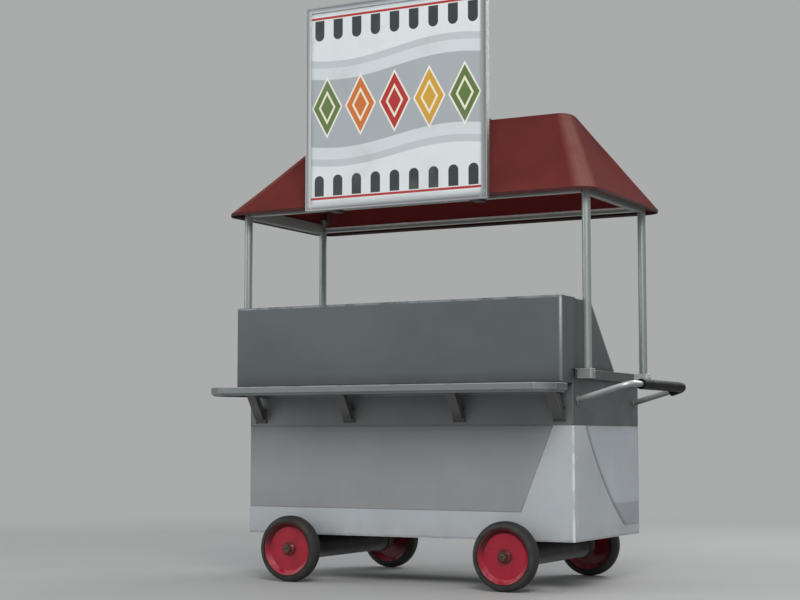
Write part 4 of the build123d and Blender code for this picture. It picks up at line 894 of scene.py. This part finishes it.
def rounded_outline(half_x, half_y, corner):
    """Points round a rectangle with round corners, each with its seam offset and its share of the side."""
    arc_steps = 16
    long_steps = 44
    short_steps = 22
    points = []
    corners = [(1, -1, short_steps), (1, 1, long_steps), (-1, 1, short_steps), (-1, -1, long_steps)]
    for turn, (sx, sy, steps) in enumerate(corners):
        centre = Vector((sx * (half_x - corner), sy * (half_y - corner)))
        start = math.radians(-90 + 90 * turn)
        for i in range(arc_steps + 1):
            angle = start + math.radians(90) * i / arc_steps
            place = centre + corner * Vector((math.cos(angle), math.sin(angle)))
            points.append((place, corner * abs(angle - start - math.radians(45)), 0.0))
        side = Vector((-math.sin(angle), math.cos(angle)))
        run = 2 * ((half_x if turn % 2 else half_y) - corner)
        for i in range(1, steps):
            points.append((place + side * run * i / steps, 1.0, i / steps))
    return points


def eave_outline(low, high, reach=0.0):
    """The outline of the canopy's box with round corners, grown by a reach."""
    half_x = (high.x - low.x) / 2 + reach
    half_y = (high.y - low.y) / 2 + reach
    return rounded_outline(half_x, half_y, canopy_corner + reach)


def canopy_sheet():
    """One sheet of cloth from the hem over the hips to the ridge, sagging between the rafters."""
    low, high = (Vector(v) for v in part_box("canopy_cover"))
    middle = (low + high) / 2
    eave = low.z + canopy_hem
    foot = eave_outline(low, high)
    shift = Vector((0, ridge_setback))
    head = [(p + shift, o, s) for p, o, s in rounded_outline(ridge_length / 2, ridge_width / 2, ridge_corner)]
    slope_rows = 30
    crown_rows = 6
    crown_start = 1 - ridge_ease / slope_length
    bm = bmesh.new()
    seam = bm.verts.layers.float.new("seam")
    along = bm.verts.layers.float.new("along")
    cut = bm.verts.layers.float_vector.new("cut_place")
    rings = []

    def ring(places, run):
        made = []
        travel = 0.0
        before = None
        for point, (start, offset, _) in zip(places, foot):
            travel += (start - before).length if before is not None else 0.0
            before = start
            vert = bm.verts.new(point)
            vert[seam] = offset
            vert[along] = run
            vert[cut] = (travel, run, 0)
            made.append(vert)
        rings.append(made)

    def slope_point(i, share):
        start, offset, side = foot[i]
        end = head[i][0]
        flat = start.lerp(end, share)
        place = Vector((middle.x + flat.x, middle.y + flat.y, eave + (high.z - eave) * share))
        out = Vector((start.x - end.x, start.y - end.y)).normalized()
        normal = Vector((out.x * 0.7, out.y * 0.7, 0.7))
        dip = 0.0
        if side:
            dip = cloth_sag * math.sin(math.pi * side) ** 0.8 * math.sin(math.pi * share) ** 0.9
        ripple = cloth_ripple * noise.noise(place * 5.5) * math.sin(math.pi * min(1.0, share * 3) / 2)
        lift = seam_rise if offset < seam_width / 2 else 0.0
        return place + normal * (ripple + lift - dip)

    for z in (low.z, low.z + canopy_hem / 2):
        ring([(middle.x + p.x, middle.y + p.y, z) for p, _, _ in foot], z - eave)
    for row in range(slope_rows + 1):
        share = crown_start * row / slope_rows
        ring([slope_point(i, share) for i in range(len(foot))], slope_length * share)
    spine_half = (ridge_length - ridge_width) / 2
    spine = []
    for p, _, _ in head:
        along_ridge = max(-spine_half, min(spine_half, p.x))
        spine.append(Vector((middle.x + along_ridge, middle.y + ridge_setback, high.z)))
    edge = [Vector((middle.x + p.x, middle.y + p.y, high.z)) for p, _, _ in head]
    below = [slope_point(i, crown_start) for i in range(len(foot))]
    over = [e.lerp(s, ridge_ease / (ridge_width / 2)) for e, s in zip(edge, spine)]
    for row in range(1, crown_rows + 1):
        t = row / crown_rows
        bend = [b * (1 - t) ** 2 + e * 2 * t * (1 - t) + o * t ** 2 for b, e, o in zip(below, edge, over)]
        ring(bend, slope_length + ridge_ease * t)
    ring(spine, slope_length + ridge_width / 2)
    for lower, upper in zip(rings, rings[1:]):
        bridge(bm, lower, upper)
    bmesh.ops.remove_doubles(bm, verts=bm.verts, dist=0.00005)
    bmesh.ops.recalc_face_normals(bm, faces=bm.faces)
    uv = bm.loops.layers.uv.new("cut")
    for face in bm.faces:
        face.smooth = True
        spans = [loop.vert[cut].x for loop in face.loops]
        closes_ring = max(spans) - min(spans) > 1.0
        for loop in face.loops:
            u, v, _ = loop.vert[cut]
            loop[uv].uv = (u + hem_length if closes_ring and u < 1.0 else u, v)
    area = sum(face.calc_area() for face in bm.faces)
    mesh = to_mesh("canopy_sheet", bm)
    piece = add_piece("canopy_sheet", mesh, canopy_cloth, "cart")
    solid = piece.modifiers.new("thickness", "SOLIDIFY")
    solid.thickness = cloth_thickness
    solid.offset = -1
    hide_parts("canopy_cover")
    return piece, area


def hem_band():
    """Webbing folded over the canopy's lower edge, following its outline."""
    low, high = (Vector(v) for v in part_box("canopy_cover"))
    middle = (low + high) / 2
    profile = [(-0.0022, 0.016), (0.0006, 0.016), (0.0010, 0.014), (0.0010, 0.002), (0.0002, -0.0008)]
    profile += [(-0.0012, -0.0010), (-0.0026, -0.0002), (-0.0030, 0.002), (-0.0030, 0.014)]
    bm = bmesh.new()
    rings = []
    for reach, rise in profile:
        outline = eave_outline(low, high, reach)
        rings.append([bm.verts.new((middle.x + p.x, middle.y + p.y, low.z + rise)) for p, _, _ in outline])
    for lower, upper in zip(rings, rings[1:] + rings[:1]):
        bridge(bm, lower, upper)
    for face in bm.faces:
        face.smooth = True
    bmesh.ops.recalc_face_normals(bm, faces=bm.faces)
    return add_piece("canopy_hem", to_mesh("canopy_hem", bm), webbing, "cart")


def lathe(bm, base, axis, profile, steps=24, hollow=False):
    """A turned solid: its profile gives (distance along the axis, radius), and closes on itself if hollow."""
    axis = axis.normalized()
    side = axis.orthogonal().normalized()
    other = axis.cross(side)
    rings = []
    for along, radius in profile:
        ring = []
        for i in range(steps):
            angle = 2 * math.pi * i / steps
            around = math.cos(angle) * side + math.sin(angle) * other
            ring.append(bm.verts.new(base + axis * along + radius * around))
        rings.append(ring)
    upper_rings = rings[1:] + rings[:1] if hollow else rings[1:]
    for lower, upper in zip(rings, upper_rings):
        bridge(bm, lower, upper)
    if not hollow:
        bm.faces.new(rings[0][::-1])
        bm.faces.new(rings[-1])


def bolt(bm, point, facing, size):
    """A hexagon head on a washer."""
    lathe(bm, point, facing, [(0, size * 0.95), (size * 0.16, size * 0.95), (size * 0.2, size * 0.88)])
    head = [(size * 0.2, size * 0.56), (size * 0.56, size * 0.56), (size * 0.62, size * 0.48)]
    lathe(bm, point, facing, head, steps=6)


def rivet(bm, point, facing, size):
    """A low domed head."""
    dome = [(size * 0.4 * math.sin(t), size * math.cos(t)) for t in (0, 0.35, 0.7, 1.05, 1.4)]
    lathe(bm, point, facing, dome, steps=16)


def rosette(bm, point, facing, size):
    """A turned collar round the foot of a rod of half its size."""
    shares = [(0, 0.5), (0, 1.0), (0.12, 1.0), (0.26, 0.9), (0.4, 0.66), (0.4, 0.5)]
    collar = [(along * size, radius * size) for along, radius in shares]
    lathe(bm, point, facing, collar, steps=32, hollow=True)


def stadium(bm, point, facing, along, length, width, rise):
    """A raised mark with round ends."""
    across = facing.cross(along)
    outline = []
    for end in (1, -1):
        for i in range(9):
            angle = math.pi * (i / 8 - 0.5)
            reach = end * (length / 2 - width / 2 + width / 2 * math.cos(angle))
            outline.append(point + along * reach + across * end * width / 2 * math.sin(angle))
    foot = [bm.verts.new(p) for p in outline]
    top = [bm.verts.new(p + facing * rise) for p in outline]
    bridge(bm, foot, top)
    bm.faces.new(foot[::-1])
    bm.faces.new(top)


def finish_piece(name, bm, material, body):
    """A piece from a built shape, smooth but for its sharp edges."""
    bmesh.ops.recalc_face_normals(bm, faces=bm.faces)
    for face in bm.faces:
        face.smooth = True
    mesh = to_mesh(name, bm)
    mesh.set_sharp_from_angle(angle=math.radians(35))
    add_piece(name, mesh, material, body)


def fixings(name, make, spots, size, body, material):
    """One piece of like fixings at points with the directions they face."""
    bm = bmesh.new()
    for point, facing in spots:
        make(bm, point, facing, size)
    finish_piece(name, bm, material, body)


# Canopy
sheet, sheet_area = canopy_sheet()
hem = hem_band()

# Fixings of the shelf brackets, the push handle, the lid hinges, the post sockets and the sign
towards_customer = Vector((0, -1, 0))
towards_operator = Vector((0, 1, 0))
upward = Vector((0, 0, 1))
bracket_spots = [
    (at(x + dx, bracket_face, z), towards_customer)
    for x in bracket_places
    for dx in (-bracket_bolt_half, bracket_bolt_half)
    for z in bracket_bolt_heights
]
fixings("bracket_bolts", bolt, bracket_spots, bracket_bolt_size, "cart", bolt_dark)
flange_spots = []
for y in (-post_line, post_line):
    for turn in (90, 210, 330):
        angle = math.radians(turn)
        across = flange_circle * math.cos(angle)
        rise = flange_circle * math.sin(angle)
        flange_spots.append((at(flange_face, y + across, flange_height + rise), Vector((1, 0, 0))))
fixings("handle_screws", rivet, flange_spots, handle_screw_size, "cart", bolt_dark)
leaf_spots = [
    (at(bay + side * lid_hinge_reach + dx, *lid_leaf), upward)
    for bay in lid_bays
    for side in (-1, 1)
    for dx in (-lid_leaf_half, lid_leaf_half)
]
fixings("hinge_rivets", rivet, leaf_spots, hinge_rivet_size, "cart", bolt_zinc)
socket_spots = [
    (at(side * socket_face, y, socket_bolt_height), Vector((side, 0, 0)))
    for side in (-1, 1)
    for y in (-post_line, post_line)
]
fixings("socket_bolts", bolt, socket_spots, socket_bolt_size, "cart", bolt_zinc)
sign_spots = [
    (at(side * (sign_half - inset), sign_face, z), towards_customer)
    for side in (-1, 1)
    for inset, z in sign_rivets
]
fixings("sign_rivets", rivet, sign_spots, sign_rivet_size, "cart", bolt_zinc)
stay_spots = [(at(x, *stay_foot), towards_operator) for x in stay_places]
arm_spots = [(at(x, y, arm_underside), -upward) for x in arm_places for y in (-post_line, arm_end)]
fixings("sign_bolts", bolt, stay_spots + arm_spots, sign_bolt_size, "cart", bolt_dark)

# Rosettes of the lid handles
slope_out = Vector((0, math.sin(lid_slope), math.cos(lid_slope)))
for number, bay in enumerate(lid_bays, start=1):
    feet = [(at(bay + side * lid_grip_half, *lid_grip_foot), slope_out) for side in (-1, 1)]
    body = f"lid_{number}_leaf"
    fixings(f"lid_rosettes_{number}", rosette, feet, rosette_size, body, bright_steel)

# Strap screws and pull rosettes of the doors
for name, (hinge_x, towards) in doors.items():
    body = f"door_{name}_leaf"
    screws = [
        (at(hinge_x + towards * reach, door_face + strap_thickness, z + dz), towards_operator)
        for z in strap_heights
        for reach, dz in strap_screws
    ]
    fixings(f"strap_screws_{name}", rivet, screws, strap_screw_size, body, bolt_zinc)
    pull_x = hinge_x + towards * door_pull_reach
    feet = [(at(pull_x, door_face, z), towards_operator) for z in door_pull_heights]
    fixings(f"pull_rosettes_{name}", rosette, feet, rosette_size, body, bright_steel)

# Dial rings with marks that grow towards full heat, and a pointer on each knob
dial = [
    (0.0, dial_inner),
    (0.0, dial_outer),
    (dial_shoulder, dial_outer),
    (dial_thickness, dial_outer - dial_chamfer),
    (dial_thickness, dial_inner + dial_chamfer),
    (dial_shoulder, dial_inner),
]
for number, x in enumerate(lid_bays, start=1):
    ring = bmesh.new()
    lathe(ring, at(x, back_face, valve_height), towards_operator, dial, steps=64, hollow=True)
    finish_piece(f"dial_ring_{number}", ring, knob_plastic, "cart")
    marks = bmesh.new()
    for step in range(dial_marks):
        angle = math.radians(dial_mark_turn * step)
        across = dial_circle * math.sin(angle)
        rise = dial_circle * math.cos(angle)
        spot = at(x + across, back_face + dial_thickness, valve_height + rise)
        rivet(marks, spot, towards_operator, dial_mark_size + dial_mark_growth * step)
    finish_piece(f"dial_marks_{number}", marks, mark_enamel, "cart")
    pointer = bmesh.new()
    spot = at(x, knob_face, valve_height + pointer_offset)
    stadium(pointer, spot, towards_operator, upward, *pointer_size)
    finish_piece(f"knob_pointer_{number}", pointer, mark_enamel, f"valve_knob_{number}")


def studio_floor():
    """Pale floor that fades out into the background away from the cart."""
    g = Graph("studio_floor")
    pale = srgb(186, 186, 185)
    base = g.mix(g.span(g.noise(0.8, 3), 0.3, 0.7), shade(pale, 0.985), shade(pale, 1.015))
    g.surface(base, 0.85, g.bump(g.noise(30, 3), 0.0005, 0.0))
    clear = g.node("ShaderNodeBsdfTransparent")
    fade = g.node("ShaderNodeMixShader")
    g.feed(fade.inputs[0], g.span(g.length(g.place), *floor_fade))
    g.feed(fade.inputs[1], g.shader.outputs["BSDF"])
    g.feed(fade.inputs[2], clear.outputs["BSDF"])
    g.feed(g.out.inputs["Surface"], fade.outputs["Shader"])
    return g.material


def turned_to(direction):
    """Rotation that looks along a direction."""
    return direction.to_track_quat("-Z", "Y").to_euler()


def lamp(name, place, aim, size, power, colour):
    """A soft box at a place, turned to a point."""
    data = bpy.data.lights.new(name, "AREA")
    data.shape = "RECTANGLE"
    data.size, data.size_y = size
    data.energy = power
    data.color = colour
    made = new_object(name, data)
    made.location = place
    made.rotation_euler = turned_to(Vector(aim) - Vector(place))


# Stage
disc = bmesh.new()
bmesh.ops.create_circle(disc, cap_ends=True, segments=96, radius=floor_radius)
floor_mesh = to_mesh("floor", disc)
floor_mesh.materials.append(studio_floor())
floor = new_object("floor", floor_mesh)
lamp("key", (3.6, -6.0, 5.2), (0, 0, 1.1), size=(3.0, 3.0), power=330, colour=(1.0, 0.985, 0.96))
lamp("fill", (-6.0, -4.5, 3.0), (0, 0, 1.0), size=(3.5, 3.5), power=110, colour=(0.95, 0.98, 1.0))
lamp("back", (1.5, 6.0, 4.5), (0, 0, 1.2), size=(4.0, 2.5), power=160, colour=(1.0, 1.0, 1.0))

# World: soft light all round, and a plain pale background for the camera and in shiny surfaces
world = bpy.data.worlds.new("studio")
bpy.context.scene.world = world
sky = Nodes(world)
rays = sky.node("ShaderNodeLightPath").outputs
plain = sky.math("MAXIMUM", rays["Is Camera Ray"], rays["Is Glossy Ray"])
plain = sky.math("MAXIMUM", plain, rays["Is Transmission Ray"])
pick = sky.node("ShaderNodeMixShader")
sky.feed(pick.inputs[0], plain)
soft_light = ((0.92, 0.96, 1.0, 1.0), 0.42)
background = (srgb(170, 171, 171), 1.0)
for socket, (colour, strength) in zip(pick.inputs[1:], (soft_light, background)):
    light = sky.node("ShaderNodeBackground")
    light.inputs["Color"].default_value = colour
    light.inputs["Strength"].default_value = strength
    sky.feed(socket, light.outputs["Background"])
sky.feed(sky.node("ShaderNodeOutputWorld").inputs["Surface"], pick.outputs["Shader"])

# Camera
azimuth = math.radians(view_azimuth)
elevation = math.radians(view_elevation)
back = Vector((
    math.sin(azimuth) * math.cos(elevation),
    -math.cos(azimuth) * math.cos(elevation),
    math.sin(elevation),
))
lens = bpy.data.cameras.new("camera")
lens.lens = view_lens
lens.sensor_width = view_sensor
camera = new_object("camera", lens)
camera.location = Vector(view_target) + view_distance * back
camera.rotation_euler = turned_to(-back)
bpy.context.scene.camera = camera
bpy.context.scene.view_settings.view_transform = "Standard"
